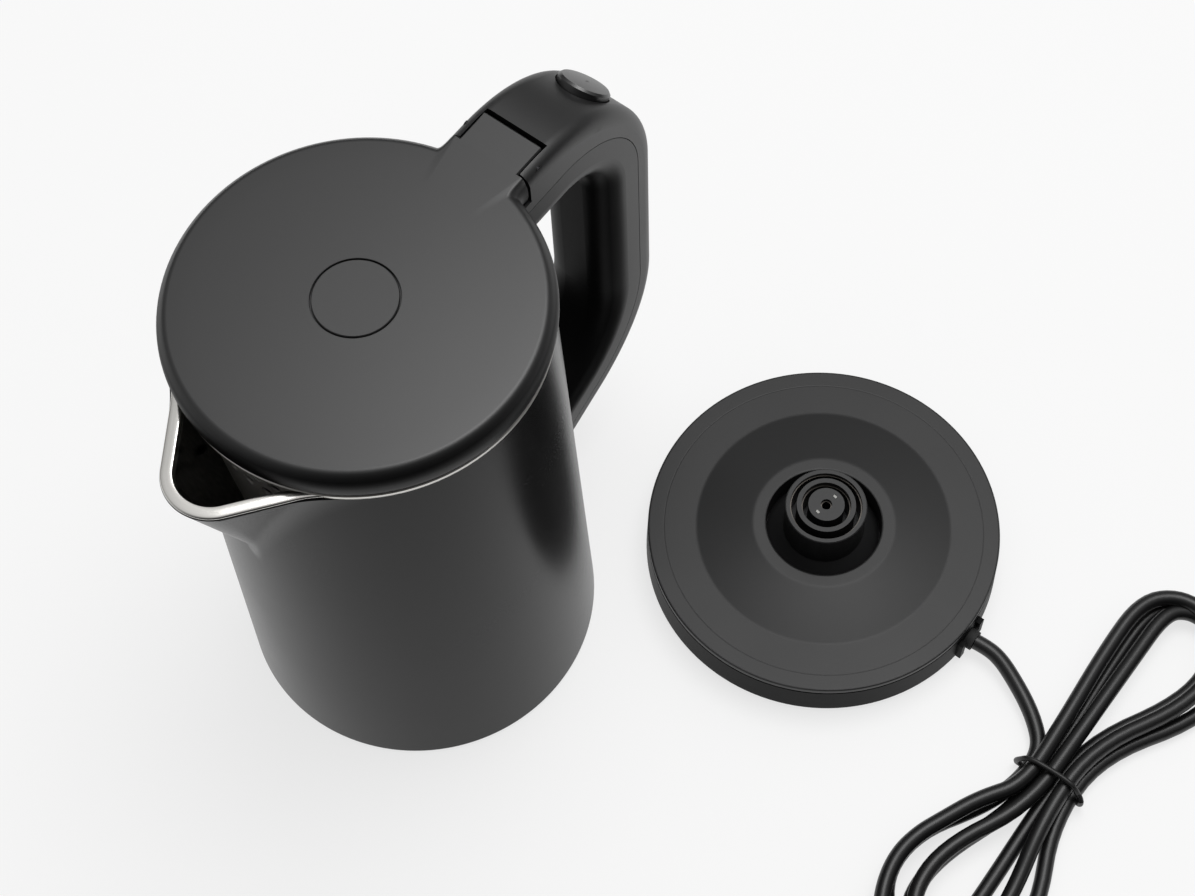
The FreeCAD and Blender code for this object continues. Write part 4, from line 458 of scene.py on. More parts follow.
class StageOperator(bpy.types.Operator):
    """Mix the finishes and set the camera, floor, lamp and sky"""

    bl_idname = "kettle.stage"
    bl_label = "Set the stage"

    def execute(self, context):
        context.scene.view_settings.view_transform = "Standard"
        stage = context.scene.kettle_stage
        make_finishes(context.scene.kettle_finishes)
        self.camera(context)
        self.floor(stage)
        self.lamp(stage)
        self.sky(context, stage)
        return {"FINISHED"}

    def camera(self, context):
        """Camera fitted to the lid, body, base and handle outlines"""
        turn, pitch, roll = (math.radians(angle) for angle in CAMERA_ANGLES)
        right = Vector((math.cos(turn), -math.sin(turn), 0.0))
        level = math.cos(pitch)
        ahead = Vector((level * math.sin(turn), level * math.cos(turn), -math.sin(pitch)))
        down = ahead.cross(right)
        across = math.cos(roll) * right - math.sin(roll) * down
        below = math.sin(roll) * right + math.cos(roll) * down
        data = bpy.data.cameras.new("camera")
        data.sensor_width = SENSOR_WIDTH
        data.lens = SENSOR_WIDTH * LENS_PIXELS / FRAME_PIXELS
        data.clip_start = NEAR_CLIP
        camera = link(bpy.data.objects.new("camera", data))
        turned = Matrix((across, -below, -ahead)).transposed().to_4x4()
        camera.matrix_world = Matrix.Translation(CAMERA_SPOT) @ turned
        context.scene.camera = camera

    def floor(self, stage):
        """Pale floor that keeps a faint shadow, with a painted dark reflection past its front"""
        mesh = bpy.data.meshes.new("floor")
        mesh.from_pydata([(FLOOR_HALF * x, FLOOR_HALF * y, 0) for x, y in SQUARE], [], [(0, 1, 2, 3)])
        floor = link(bpy.data.objects.new("floor", mesh))
        finish = Finish("floor_paper")
        paper = finish.node("ShaderNodeBsdfDiffuse", None, {"Color": tone(stage.floor_tone)})
        glow = finish.node("ShaderNodeEmission", None, {"Color": tone(stage.floor_tone)})
        direct, mirrored, through = (finish.node("ShaderNodeLightPath", output=name) for name in (
            "Is Camera Ray", "Is Glossy Ray", "Is Transmission Ray"))
        seen = direct.at_least(mirrored).at_least(through)
        shown = finish.node("ShaderNodeMixShader", None, {
            0: seen * stage.floor_glow, 1: paper, 2: glow})
        # Past the front only gloss sees a dark tone, a painted dark reflection; the camera still sees
        # the pale floor
        past = (finish.along(finish.place, -LEVEL_AHEAD) > stage.floor_front) * mirrored
        dim = finish.node("ShaderNodeBsdfDiffuse", None, {"Color": tone(FLOOR_FRONT_PAINTED_REFLECTION)})
        shown = finish.node("ShaderNodeMixShader", None, {0: past, 1: shown, 2: dim})
        finish.node("ShaderNodeOutputMaterial", None, {"Surface": shown})
        mesh.materials.append(finish.material)

    def lamp(self, stage):
        """One wide soft lamp that the lid and the base mirror"""
        data = bpy.data.lights.new("key_lamp", "AREA")
        data.shape = "DISK"
        data.size = stage.key_size
        data.energy = stage.key_light
        lamp = link(bpy.data.objects.new("key_lamp", data))
        turned = (KEY_AIM - KEY_SPOT).to_track_quat("-Z", "Y").to_matrix().to_4x4()
        lamp.matrix_world = Matrix.Translation(KEY_SPOT) @ turned

    def sky(self, context, stage):
        """White light that falls off from overhead and from the left"""
        world = bpy.data.worlds.new("studio")
        world.use_nodes = True
        sheet = NodeSheet(world.node_tree)
        heading = sheet.node("ShaderNodeTexCoord", output="Generated")
        rise = sheet.along(heading, SKY_MIDDLE).at_least(0.0) ** MIDDLE_FALL
        side = sheet.along(heading, SKY_LEFT).at_least(0.0) ** LEFT_FALL
        fall = stage.sky_low + (stage.sky_top - stage.sky_low) * rise + stage.sky_left * side
        seen = sheet.node("ShaderNodeLightPath", output="Is Camera Ray")
        light = sheet.node("ShaderNodeBackground", None, {
            "Color": (1.0, 1.0, 1.0, 1.0), "Strength": BACKDROP * seen + (1.0 - seen) * fall})
        sheet.node("ShaderNodeOutputWorld", None, {"Surface": light})
        context.scene.world = world


# Mesh helpers

def skin(name, rings, ends="caps", sharp=CRISP_EDGE):
    """Skin a row of closed rings that ends in caps, a loop or poles, which are rings of one point"""
    work = bmesh.new()
    rows = [[work.verts.new((x * MM, y * MM, z * MM)) for x, y, z in ring] for ring in rings]
    pairs = list(zip(rows, rows[1:]))
    if ends == "loop":
        pairs.append((rows[-1], rows[0]))
    for low, high in pairs:
        for index in range(max(len(low), len(high))):
            corners = [low[index % len(low)], low[(index + 1) % len(low)],
                       high[(index + 1) % len(high)], high[index % len(high)]]
            work.faces.new(list(dict.fromkeys(corners)))
    if ends == "caps":
        for row in (rows[0], rows[-1]):
            if len(row) > 1:
                work.faces.new(row)
    bmesh.ops.recalc_face_normals(work, faces=work.faces)
    mesh = bpy.data.meshes.new(name)
    work.to_mesh(mesh)
    work.free()
    mesh.shade_smooth()
    mesh.set_sharp_from_angle(angle=math.radians(sharp))
    return mesh


def joined(name, parts):
    """One mesh made of several"""
    work = bmesh.new()
    for part in parts:
        work.from_mesh(part)
    mesh = bpy.data.meshes.new(name)
    work.to_mesh(mesh)
    work.free()
    return mesh


def plain_mesh(name, carrier):
    """Finished mesh of a curve or of an object with a modifier, which is removed"""
    depsgraph = bpy.context.evaluated_depsgraph_get()
    mesh = bpy.data.meshes.new_from_object(carrier.evaluated_get(depsgraph))
    bpy.data.objects.remove(carrier)
    mesh.name = name
    mesh.shade_smooth()
    return mesh


def round_curve(name, diameter, routes, roundness):
    """Curve with a round section along routes in millimetres, each of them open or closed"""
    curve = bpy.data.curves.new(name, "CURVE")
    curve.dimensions = "3D"
    curve.bevel_depth = diameter / 2
    curve.bevel_resolution = roundness
    curve.use_fill_caps = True
    for route, closed in routes:
        spline = curve.splines.new("NURBS")
        spline.points.add(len(route) - 1)
        for point, place in zip(spline.points, route):
            point.co = (*(MM * part for part in place), 1.0)
        spline.order_u = 3
        spline.use_cyclic_u = closed
        spline.use_endpoint_u = not closed
        spline.resolution_u = 6
    return curve


def piece(data, body, slot, *replaced, finish=None):
    """Set a mesh or curve on its body, in place of CAD nodes, with its slot's finish or another"""
    obj = link(bpy.data.objects.new(data.name, data))
    dress(obj, finish or slot)
    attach(obj, body)
    if replaced:
        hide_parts(*replaced)
    return obj


def soft_union(first, second, width):
    """The larger of two distances, with their meeting rounded over a width"""
    shared = max(width - abs(first - second), 0.0) / width
    return max(first, second) + shared * shared * width / 4


def spaced(low, high, count):
    """Even steps from low to high, both included"""
    return [low + (high - low) * index / count for index in range(count + 1)]


# Wall and spout

class SpoutPlan:
    """Plan of the wall and spout at any height, in millimetres from the kettle's axis"""

    foot_z = 1.5
    lip_z = 232.5
    keel_z = 164.0
    half_angle = math.radians(36.1)
    turn = math.radians(2.0)
    # Radius of the front edge at the lip, its loss down to the keel, and the least that is left
    nose_radius, nose_loss, least_radius = 18.6, 13.6, 0.1
    # How deep the keel starts in the wall, and how fast the sides fall away past their ends
    keel_depth, fall_away = 0.4, 60.0

    def __init__(self, sizes):
        self.top_radius = sizes.wall_top_radius / MM
        self.foot_radius = sizes.wall_foot_radius / MM
        self.reach = sizes.spout_reach / MM
        self.keel_reach = self.wall(self.keel_z) - self.keel_depth

    def wall(self, z):
        """Radius of the tapered wall"""
        share = (z - self.foot_z) / (self.lip_z - self.foot_z)
        return self.foot_radius + (self.top_radius - self.foot_radius) * share

    def tip(self, z):
        """Centre and radius of the spout's rounded front edge"""
        fall = max((self.lip_z - z) / (self.lip_z - self.keel_z), 0.0)
        radius = self.nose_radius - self.nose_loss * fall
        return self.reach + (self.keel_reach - self.reach) * fall - radius, radius

    def spout(self, bearing, z, inset=0.0):
        """Distance to the spout's side on a bearing from its middle"""
        centre, radius = self.tip(z)
        radius = max(radius - inset, self.least_radius)
        side = abs(math.remainder(bearing, math.tau))
        slope = math.sin(self.half_angle)
        if side < math.atan2(radius * math.cos(self.half_angle), centre + radius * slope):
            offset = centre * math.sin(side)
            return centre * math.cos(side) + math.sqrt(max(radius ** 2 - offset ** 2, 0.0))
        spread = self.half_angle + side
        past = max(spread - math.pi / 2, 0.0)
        return (radius + centre * slope) / math.sin(min(spread, math.pi / 2)) - self.fall_away * past

    def ending(self, z, inset, circle):
        """Bearing at which the spout's side meets a circle round the axis"""
        centre, radius = self.tip(z)
        radius = max(radius - inset, self.least_radius)
        share = (radius + centre * math.sin(self.half_angle)) / circle
        return math.asin(min(share, 1.0)) - self.half_angle

    def point(self, bearing, distance, z):
        """Point at a distance from the axis on a bearing from the spout's middle"""
        swung = bearing + self.turn
        return (-distance * math.cos(swung), distance * math.sin(swung), z)


class ShellOperator(bpy.types.Operator):
    """Mould the outer wall with the cowl under the spout"""

    bl_idname = "kettle.shell"
    bl_label = "Mould the wall"

    foot_bevel, lip_bevel = 0.6, 0.35
    wall_thickness, cowl_thickness = 2.5, 2.0
    # Width of the blend between spout and wall at the keel, and its gain up to the lip
    blend, blend_gain = 4.2, 1.2

    def execute(self, context):
        plan = SpoutPlan(context.scene.kettle_sizes)
        # Steps are finer round the spout
        angles = spaced(-45, 45, 225)[:-1] + spaced(45, 315, 135)[:-1]
        bearings = [math.radians(angle) for angle in angles]
        outside = spaced(2.1, 140, 12) + spaced(142, 232.1, 60)
        inside = [plan.foot_z] + spaced(60, 164, 4) + spaced(170, plan.lip_z, 12)
        rings = [self.ring(plan, bearings, plan.foot_z, self.foot_bevel)]
        rings += [self.ring(plan, bearings, z, 0.0) for z in outside]
        rings += [self.ring(plan, bearings, plan.lip_z, self.lip_bevel)]
        rings += [self.lining(plan, bearings, z) for z in reversed(inside)]
        piece(skin("shell_wall", rings, "loop"), "kettle_body", "shell_plastic", "outer_shell")
        return {"FINISHED"}

    def ring(self, plan, bearings, z, inset):
        """One outside ring, with the spout's sides run softly into the wall"""
        rise = min(max((z - plan.keel_z) / (plan.lip_z - plan.keel_z), 0.0), 1.0)
        width = self.blend + self.blend_gain * rise
        wall = plan.wall(z)
        return [plan.point(bearing, soft_union(wall, plan.spout(bearing, z), width) - inset, z)
                for bearing in bearings]

    def lining(self, plan, bearings, z):
        """One inside ring"""
        wall = plan.wall(z) - self.wall_thickness
        return [plan.point(bearing, max(wall, plan.spout(bearing, z, self.cowl_thickness)), z)
                for bearing in bearings]


class BeakOperator(bpy.types.Operator):
    """Press the steel beak with its rolled pouring lip"""

    bl_idname = "kettle.beak"
    bl_label = "Press the beak"

    pot_radius = 62.15
    # How far the rim stands past the wall, and how far inside the rim the lip's ends lie
    rim_overhang, rim_step = 0.55, 0.75
    # How far the lip runs on past the spout's sides, and the width of its blend with the rim
    lip_overrun, lip_blend = math.radians(9.0), 3.6

    def execute(self, context):
        sizes = context.scene.kettle_sizes
        plan = SpoutPlan(sizes)
        width = sizes.lip_width / MM
        lip = plan.lip_z
        rim = plan.top_radius + self.rim_overhang
        pot = self.pot_radius
        # Round the beak's section: inset from the cowl's outside, height and the circle that it ends on
        section = [
            (2.2, lip - 58, pot), (2.2, lip - 30, pot), (2.2, lip - 6, pot), (2.2, lip - 0.1, pot),
            (1.2, lip + 0.05, rim), (0.45, lip + 0.05, rim), (0.33, lip + 0.3, rim),
            (0.38, lip + 0.6, rim), (0.62, lip + 0.95, rim), (1.1, lip + 1.12, rim),
            (2.0, lip + 1.22, rim), (3.0, lip + 1.32, rim), (width - 0.9, lip + 1.4, rim),
            (width - 0.35, lip + 1.3, rim), (width - 0.06, lip + 0.9, rim), (width, lip + 0.1, rim),
            (width - 0.05, lip - 0.8, pot), (width - 0.2, lip - 2.5, pot),
            (width - 0.6, lip - 6.0, pot), (3.6, lip - 13.0, pot), (3.05, lip - 30, pot),
            (3.0, lip - 58, pot),
        ]
        lip_end = plan.ending(lip, 0.0, rim) + self.lip_overrun
        rings = []
        for share in spaced(-1.0, 1.0, 160):
            ring = []
            for inset, z, circle in section:
                if circle == rim:
                    bearing = share * lip_end
                    distance = soft_union(
                        rim - self.rim_step, plan.spout(bearing, z, inset), self.lip_blend)
                else:
                    bearing = share * plan.ending(z, inset, circle)
                    distance = plan.spout(bearing, z, inset)
                ring.append(plan.point(bearing, distance, z))
            rings.append(ring)
        piece(skin("pouring_beak", rings), "kettle_body", "polished_steel", "spout_beak",
              finish="beak_steel")
        return {"FINISHED"}


class LidOperator(bpy.types.Operator):
    """Mould the lid with the shoulder that runs into its hinge tongue"""

    bl_idname = "kettle.lid"
    bl_label = "Mould the lid"

    base = 235.0
    top = 248.0
    flat_end = 4.7
    # Recess for the cap, and radii of the rings over the crowned top
    recess_radius, recess_depth, recess_bevel = 15.7, 0.6, 0.15
    crown = (15.85, 24.0, 33.0, 42.0, 50.0, 56.0)
    # Edge: a tight round, then a wider one, each by its middle's inset and height, radius and slopes
    edge = ((4.7, 245.0, 3.0, spaced(90, 50, 6)), (7.78, 241.32, 7.8, spaced(44, 0, 8)))
    # Skirt under the edge by inset and height, and the hollow inside it by radius and height
    skirt = ((0.05, 239.4), (0.3, 237.7), (0.75, 236.2), (1.25, 235.3), (1.6, base))
    hollow = ((66.5, base), (66.5, 242.2), (60.5, 245.2))
    # Shoulder: half its width, its share of an inset, its end and its blend with the round
    shoulder, shoulder_draw, shoulder_end, shoulder_blend = 17.5, 0.6, 71.9, 5.0
    # Tongue: underside, bevel, half width of the spring's relief, and stations along it
    # with half width, drop of the top and depth of the relief
    tongue_low, tongue_bevel, relief_half = 242.2, 0.5, 3.3
    tongue_stations = (
        (71.8, 12.95, 0.01, 0.02), (78.2, 12.95, 0.01, 0.02), (78.8, 12.95, 0.01, 1.7),
        (85.7, 12.95, 0.01, 1.7), (86.3, 12.35, 0.6, 1.7),
    )

    def execute(self, context):
        self.radius = context.scene.kettle_sizes.lid_radius / MM
        # Steps are finer where the shoulder leaves the round
        fine = spaced(6.0, 20.0, 84)
        angles = spaced(-6, 6, 6)[:-1] + fine[:-1] + spaced(20, 340, 128)[:-1]
        angles += [360 - angle for angle in reversed(fine)]
        self.angles = [math.radians(angle) for angle in angles[:-1]]
        floor = self.top - self.recess_depth
        rings = [[(0.0, 0.0, floor)], self.circle(self.recess_radius, floor)]
        rings += [self.circle(self.recess_radius, self.face(self.recess_radius) - self.recess_bevel)]
        rings += [self.circle(radius, self.face(radius)) for radius in self.crown]
        for inset, z, radius, slopes in self.edge:
            for slope in slopes:
                swing = math.radians(slope)
                rings.append(self.outline(
                    inset - radius * math.cos(swing), z + radius * math.sin(swing)))
        rings += [self.outline(inset, z) for inset, z in self.skirt]
        rings += [self.circle(radius, z) for radius, z in self.hollow]
        rings += [[(0.0, 0.0, self.hollow[-1][1])]]
        bowl = skin("lid_bowl", rings, "poles")
        piece(joined("lid_moulding", (bowl, self.tongue())), "lid", "lid_plastic", "lid_top")
        return {"FINISHED"}

    def face(self, radius):
        """Height of the crowned top"""
        return self.top + max(1.0 - (radius / (self.radius - self.flat_end)) ** 2, 0.0)

    def circle(self, radius, z):
        return [(radius * math.cos(angle), radius * math.sin(angle), z) for angle in self.angles]

    def outline(self, inset, z):
        """Round lid and straight shoulder run together, drawn in by an inset"""
        points = []
        for angle in self.angles:
            reach = self.radius - inset
            if math.cos(angle) > 0.1:
                side = (self.shoulder - self.shoulder_draw * inset) / max(abs(math.sin(angle)), 0.001)
                end = self.shoulder_end / math.cos(angle)
                reach = soft_union(reach, min(side, end), self.shoulder_blend)
                if end < side:
                    reach = min(reach, end)
            points.append((reach * math.cos(angle), reach * math.sin(angle), z))
        return points

    def tongue(self):
        """Flat tongue that lies in the handle's notch, relieved behind the pin for the spring"""
        low = self.tongue_low
        slot = self.relief_half
        rings = []
        for x, half, drop, relief in self.tongue_stations:
            top = self.top - drop
            side = top - self.tongue_bevel
            flat = half - self.tongue_bevel
            rings.append([(x, y, z) for y, z in (
                (-half, low), (-half, side), (-flat, top), (flat, top), (half, side), (half, low),
                (slot, low), (slot, low + relief), (-slot, low + relief), (-slot, low))])
        return skin("lid_tongue", rings)


# Lead and plug

# Route of the lead, in millimetres, from the base into the hank
LEAD_ROUTE = [
    (119.4, -204.8, 8.0), (120.2, -211.0, 7.9), (119.0, -218.5, 7.2), (115.2, -227.4, 5.9),
    (110.5, -236.4, 5.1), (104.6, -244.6, 4.9), (98.0, -250.8, 4.8), (90.0, -253.0, 4.7),
    (78.0, -252.2, 4.6), (61.5, -246.8, 4.6), (36.5, -231.0, 3.4),
]
# Height of one layer of strands
LAYER = 6.322
# Bends of the hank: along, across, radius, height at the start, middle and end
HANK_BENDS = [
    (-64.0, 2.5, 28.5, 0.0, 0.0, 0.0),
    (81.5, -15.5, 21.5, 0.0, 0.0, 0.0),
    (-72.0, 6.5, 11.5, 0.0, 0.0, 0.0),
    (84.0, -13.5, 13.5, 0.0, 0.55 * LAYER, 1.1 * LAYER),
    (-69.0, 1.25, 16.25, 1.25 * LAYER, 1.25 * LAYER, 0.3 * LAYER),
    (79.0, -9.4, 20.2, 1.12 * LAYER, 1.25 * LAYER, 1.25 * LAYER),
]
# Where each run passes the tie: across in pitches, and its layer
HANK_SLOTS = [(-1.53, 0.0), (0.47, 0.0), (-0.53, 0.0), (0.0, 1.06), (-1.03, 1.06), (1.06, 1.12)]
HANK_WAIST = Vector((88.0, -262.0, 3.4))
STRAND_PITCH = 7.3
TIE_LIFT = 1.7
# Control points round a bend: angle in degrees, and share of the way to the middle's height
BEND_STEPS = ((-67.5, 0.25), (-22.5, 0.75), (22.5, 0.75), (67.5, 0.25))
# Half the angle between them, and where the runs beside a bend straighten
BEND_HALF_STEP, STRAIGHT_SHARE = math.radians(22.5), 0.25
# Route out of the hank to the plug
TAIL_ROUTE = [
    (77.0, -255.6, 12.2), (61.0, -244.4, 12.1), (45.0, -237.6, 12.1), (34.0, -233.0, 12.1),
    (22.0, -231.0, 11.8), (9.5, -233.2, 11.3), (-2.5, -239.0, 11.0), (-14.2, -245.6, 11.6),
    (-26.5, -249.8, 12.5), (-38.0, -249.8, 12.5),
]


def hank_turns():
    """Control points of the hank's turns, one bend after another"""
    points = []
    for index, (along, across, radius, low, middle, high) in enumerate(HANK_BENDS):
        outward = math.copysign(1.0, along)
        centre = HANK_WAIST + Vector((along, across, 0.0))
        reach = outward * radius / math.cos(BEND_HALF_STEP)
        if index > 0:
            points.append(centre + Vector((-STRAIGHT_SHARE * along, -outward * radius, low)))
        for angle, share in BEND_STEPS:
            swing = math.radians(angle)
            end = low if angle < 0 else high
            points.append(centre + Vector((
                reach * math.cos(swing), reach * math.sin(swing), end + (middle - end) * share)))
        slot, level = HANK_SLOTS[index]
        waist = HANK_WAIST + Vector((0.0, slot * STRAND_PITCH, TIE_LIFT + level * LAYER))
        points.append(centre + Vector((-STRAIGHT_SHARE * along, outward * radius, high)))
        points.append(waist + Vector((STRAIGHT_SHARE * along, 0.0, 0.0)))
        if index + 1 < len(HANK_BENDS):
            points.append(waist + Vector((STRAIGHT_SHARE * HANK_BENDS[index + 1][0], 0.0, 0.0)))
    return points


# Wire tie round the hank's waist, and its twisted end
TIE_LOOP = [
    (86.4, -246.6, 5.0), (85.2, -248.4, 11.8), (86.2, -251.6, 17.0), (86.9, -262.0, 17.2),
    (87.0, -269.0, 17.2), (86.6, -272.6, 16.6), (86.4, -277.0, 10.5), (86.6, -278.4, 4.5),
    (87.2, -277.2, 1.05), (88.0, -262.0, 1.25), (87.5, -248.0, 1.05),
]
TIE_END = [(86.5, -274.4, 13.4), (86.3, -276.2, 12.2), (85.6, -277.6, 11.2), (85.0, -278.2, 10.5)]

# Plug: its middle line (across, height), stations along it with half width, half height and squareness,
# and the ribs of its bend relief with their radius
PLUG_LINE = (-249.8, 12.5)
PLUG_STATIONS = [
    (-78.0, 13.6, 9.4, 4.0), (-77.7, 15.0, 10.8, 4.0), (-76.9, 16.2, 11.8, 4.0),
    (-75.4, 16.9, 12.4, 4.0), (-72.0, 17.0, 12.5, 4.0), (-68.0, 16.0, 12.3, 3.8),
    (-64.0, 14.5, 11.9, 3.5), (-60.0, 12.9, 11.2, 3.2), (-57.0, 11.6, 10.4, 3.0),
    (-54.5, 10.2, 9.4, 2.8), (-52.8, 8.6, 8.2, 2.4), (-52.0, 7.0, 6.9, 2.1), (-51.6, 6.2, 6.2, 2.0),
    (-45.0, 5.4, 5.4, 2.0), (-38.4, 4.6, 4.6, 2.0), (-38.0, 4.2, 4.2, 2.0),
]
PLUG_RIBS = [(-50.0, 6.0), (-47.6, 5.7), (-45.2, 5.4), (-42.8, 5.1), (-40.4, 4.8)]

# Screws on each body by the CAD node they stand for: heading, shank length and seats
ALONG, UP, DOWN = (1.0, 0.0, 0.0), (0.0, 0.0, 1.0), (0.0, 0.0, -1.0)
FIXINGS = {
    "kettle_fixings": ("kettle_body", {
        "handle_screws": (ALONG, 9.0, [(64.94, 0.0, 222.0), (68.72, 10.0, 50.0), (68.72, -10.0, 50.0)]),
        "control_screws": (UP, 21.3, [(0.0, 20.8, 9.7), (-18.01, -10.4, 9.7), (18.01, -10.4, 9.7)]),
        "bottom_cover_screws": (UP, 9.0, [(25.1, 43.47, 8.4), (-50.2, 0.0, 8.4), (25.1, -43.47, 8.4)]),
    }),
    "lid_fixings": ("lid", {
        "lid_screws": (UP, 9.7, [(23.6, 40.88, 235.0), (-47.2, 0.0, 235.0), (23.6, -40.88, 235.0)]),
    }),
    "base_fixings": ("power_base", {
        "base_screws": (UP, 9.0, [(119.4, -65.8, 2.4), (67.44, -155.8, 2.4), (171.36, -155.8, 2.4)]),
        "connector_screws": (UP, 9.0, [
            (90.82, -109.3, 11.1), (119.4, -158.8, 11.1), (147.98, -109.3, 11.1)]),
        "clamp_screws": (DOWN, 8.0, [(127.6, -187.0, 15.8), (111.2, -187.0, 15.8)]),
    }),
}
# Bars of the cross recess, as shares of the head's radius
RECESS_LENGTH, RECESS_WIDTH = 1.15, 0.26


class LeadOperator(bpy.types.Operator):
    """Lay the mains lead from the base through its hank to the plug"""

    bl_idname = "kettle.lead"
    bl_label = "Lay the lead"

    def execute(self, context):
        sizes = context.scene.kettle_sizes
        route = LEAD_ROUTE + hank_turns() + TAIL_ROUTE
        curve = round_curve("mains_lead", sizes.cord_diameter, [(route, False)], roundness=5)
        lead = piece(curve, "power_base", "cord_sheath", "cord_lead", "cord_hank", "cord_tail")
        self.tie(sizes)
        self.plug()
        self.plug_neck()
        return {"FINISHED"}

    def tie(self, sizes):
        """Wire tie drawn round the hank, with its twisted end beside it"""
        curve = round_curve(
            "wire_tie", sizes.tie_diameter, [(TIE_LOOP, True), (TIE_END, False)], roundness=4)
        mesh = plain_mesh("wire_tie", link(bpy.data.objects.new("wire_tie_route", curve)))
        return piece(mesh, "power_base", "tie_sheath", "cord_tie")

    def plug(self):
        """Moulded plug that swells from the lead to the pins' face"""
        y, z = PLUG_LINE
        rings = []
        for x, half_width, half_height, square in PLUG_STATIONS:
            ring = []
            for angle in spaced(0, 2 * math.pi, 64)[:-1]:
                across, upright = (math.copysign(abs(part) ** (2 / square), part)
                                   for part in (math.cos(angle), math.sin(angle)))
                ring.append((x, y + half_width * across, z + half_height * upright))
            rings.append(ring)
        return piece(skin("moulded_plug", rings), "power_base", "cord_sheath", "plug_body")

    def plug_neck(self):
        """Ribs of the plug's bend relief"""
        ribs = GeometrySheet("ring_ribs", **{"Rib radius": 0.0007})
        ring = ribs.node("GeometryNodeCurvePrimitiveCircle", None, {"Resolution": 40, "Radius": 1.0})
        rings = ribs.node("GeometryNodeRealizeInstances", None, {
            "Geometry": ribs.spread(ring, ribs.attribute("size"))})
        section = ribs.node("GeometryNodeCurvePrimitiveCircle", None, {
            "Resolution": 12, "Radius": ribs.input("Rib radius")})
        bead = ribs.node("GeometryNodeCurveToMesh", None, {"Curve": rings, "Profile Curve": section})
        places = [((x, *PLUG_LINE), ALONG, radius) for x, radius in PLUG_RIBS]
        mesh = ribs.close(bead, FINISHES["cord_sheath"]).make("plug_ribs", places, sharp=60.0)
        return piece(mesh, "power_base", "cord_sheath")


class FixingsOperator(bpy.types.Operator):
    """Drive the cross-head screws"""

    bl_idname = "kettle.fixings"
    bl_label = "Drive the screws"

    def execute(self, context):
        sizes = context.scene.kettle_sizes
        screw = self.screw(sizes.screw_head_diameter / 2)
        for name, (body, kinds) in FIXINGS.items():
            places = [(seat, heading, length)
                      for heading, length, seats in kinds.values() for seat in seats]
            piece(screw.make(name, places), body, "fixing_steel", *kinds)
        return {"FINISHED"}

    def screw(self, radius):
        """Domed head with a cross recess on a plain shank"""
        sheet = GeometrySheet("cross_head_screw", **{
            "Head radius": radius, "Head height": 0.0018, "Shank radius": 0.0015, "Dome": 0.0006})
        head_radius = sheet.input("Head radius")
        height = sheet.input("Head height")
        head = sheet.node("GeometryNodeMeshCylinder", {"fill_type": "TRIANGLE_FAN"}, {
            "Vertices": 32, "Side Segments": 1, "Fill Segments": 5,
            "Radius": head_radius, "Depth": height})
        place = sheet.node("GeometryNodeInputPosition")
        x, y, z = (sheet.node("ShaderNodeSeparateXYZ", None, {0: place}, output=axis) for axis in "XYZ")
        sink = (z < 0.0) * sheet.input("Dome") * (x * x + y * y) / (head_radius * head_radius)
        domed = sheet.node("GeometryNodeSetPosition", None, {
            "Geometry": head, "Offset": sheet.vector(z=sink - 0.5 * height)})
        long_side = RECESS_LENGTH * head_radius
        short_side = RECESS_WIDTH * head_radius
        slots = []
        for wide, deep in ((long_side, short_side), (short_side, long_side)):
            bar = sheet.node("GeometryNodeMeshCube", None, {"Size": sheet.vector(wide, deep, height)})
            slots.append(sheet.node("GeometryNodeTransform", None, {
                "Geometry": bar, "Translation": sheet.vector(z=-1.0 * height)}))
        recessed = sheet.node("GeometryNodeMeshBoolean", {"operation": "DIFFERENCE"}, {
            "Mesh 1": domed, "Mesh 2": slots})
        shank = sheet.node("GeometryNodeMeshCylinder", None, {
            "Vertices": 20, "Radius": sheet.input("Shank radius"), "Depth": 1.0})
        shank = sheet.node("GeometryNodeTransform", None, {
            "Geometry": shank, "Translation": (0.0, 0.0, 0.5)})
        length = sheet.vector(1.0, 1.0, sheet.attribute("size"))
        screws = sheet.node("GeometryNodeJoinGeometry", None, {
            0: [sheet.spread(recessed, (1.0, 1.0, 1.0)), sheet.spread(shank, length)]})
        return sheet.close(screws, FINISHES["fixing_steel"])


class KettleOperator(bpy.types.Operator):
    """Finish the kettle's own pieces"""

    bl_idname = "kettle.body"
    bl_label = "Finish the kettle"

    finishes = {
        "shell_plastic": ["bottom_cover"],
        "pot_steel": ["inner_pot", "pot_floor"],
        "lid_plastic": ["lid_inner"],
        "cap_plastic": ["lid_cap"],
        "handle_plastic": ["handle_cover"],
        "grip_plastic": ["handle_grip"],
        "button_plastic": ["lid_release_button", "power_switch"],
        "inner_plastic": ["lid_catch", "steam_switch", "control_unit"],
        "blackened_steel": ["hinge_pin"],
        "spring_steel": ["switch_pin", "button_spring", "bimetal_disc", "lid_spring"],
        "fixing_steel": ["tie_studs"],
        "silicone": ["steam_tube", "lid_seal"],
        "wire_sheath": ["switch_wires"],
        "heater_aluminium": ["heating_element", "heater_plate"],
        "contact_brass": ["socket_contacts"],
    }

    def execute(self, context):
        dress_nodes(self.finishes)
        return {"FINISHED"}


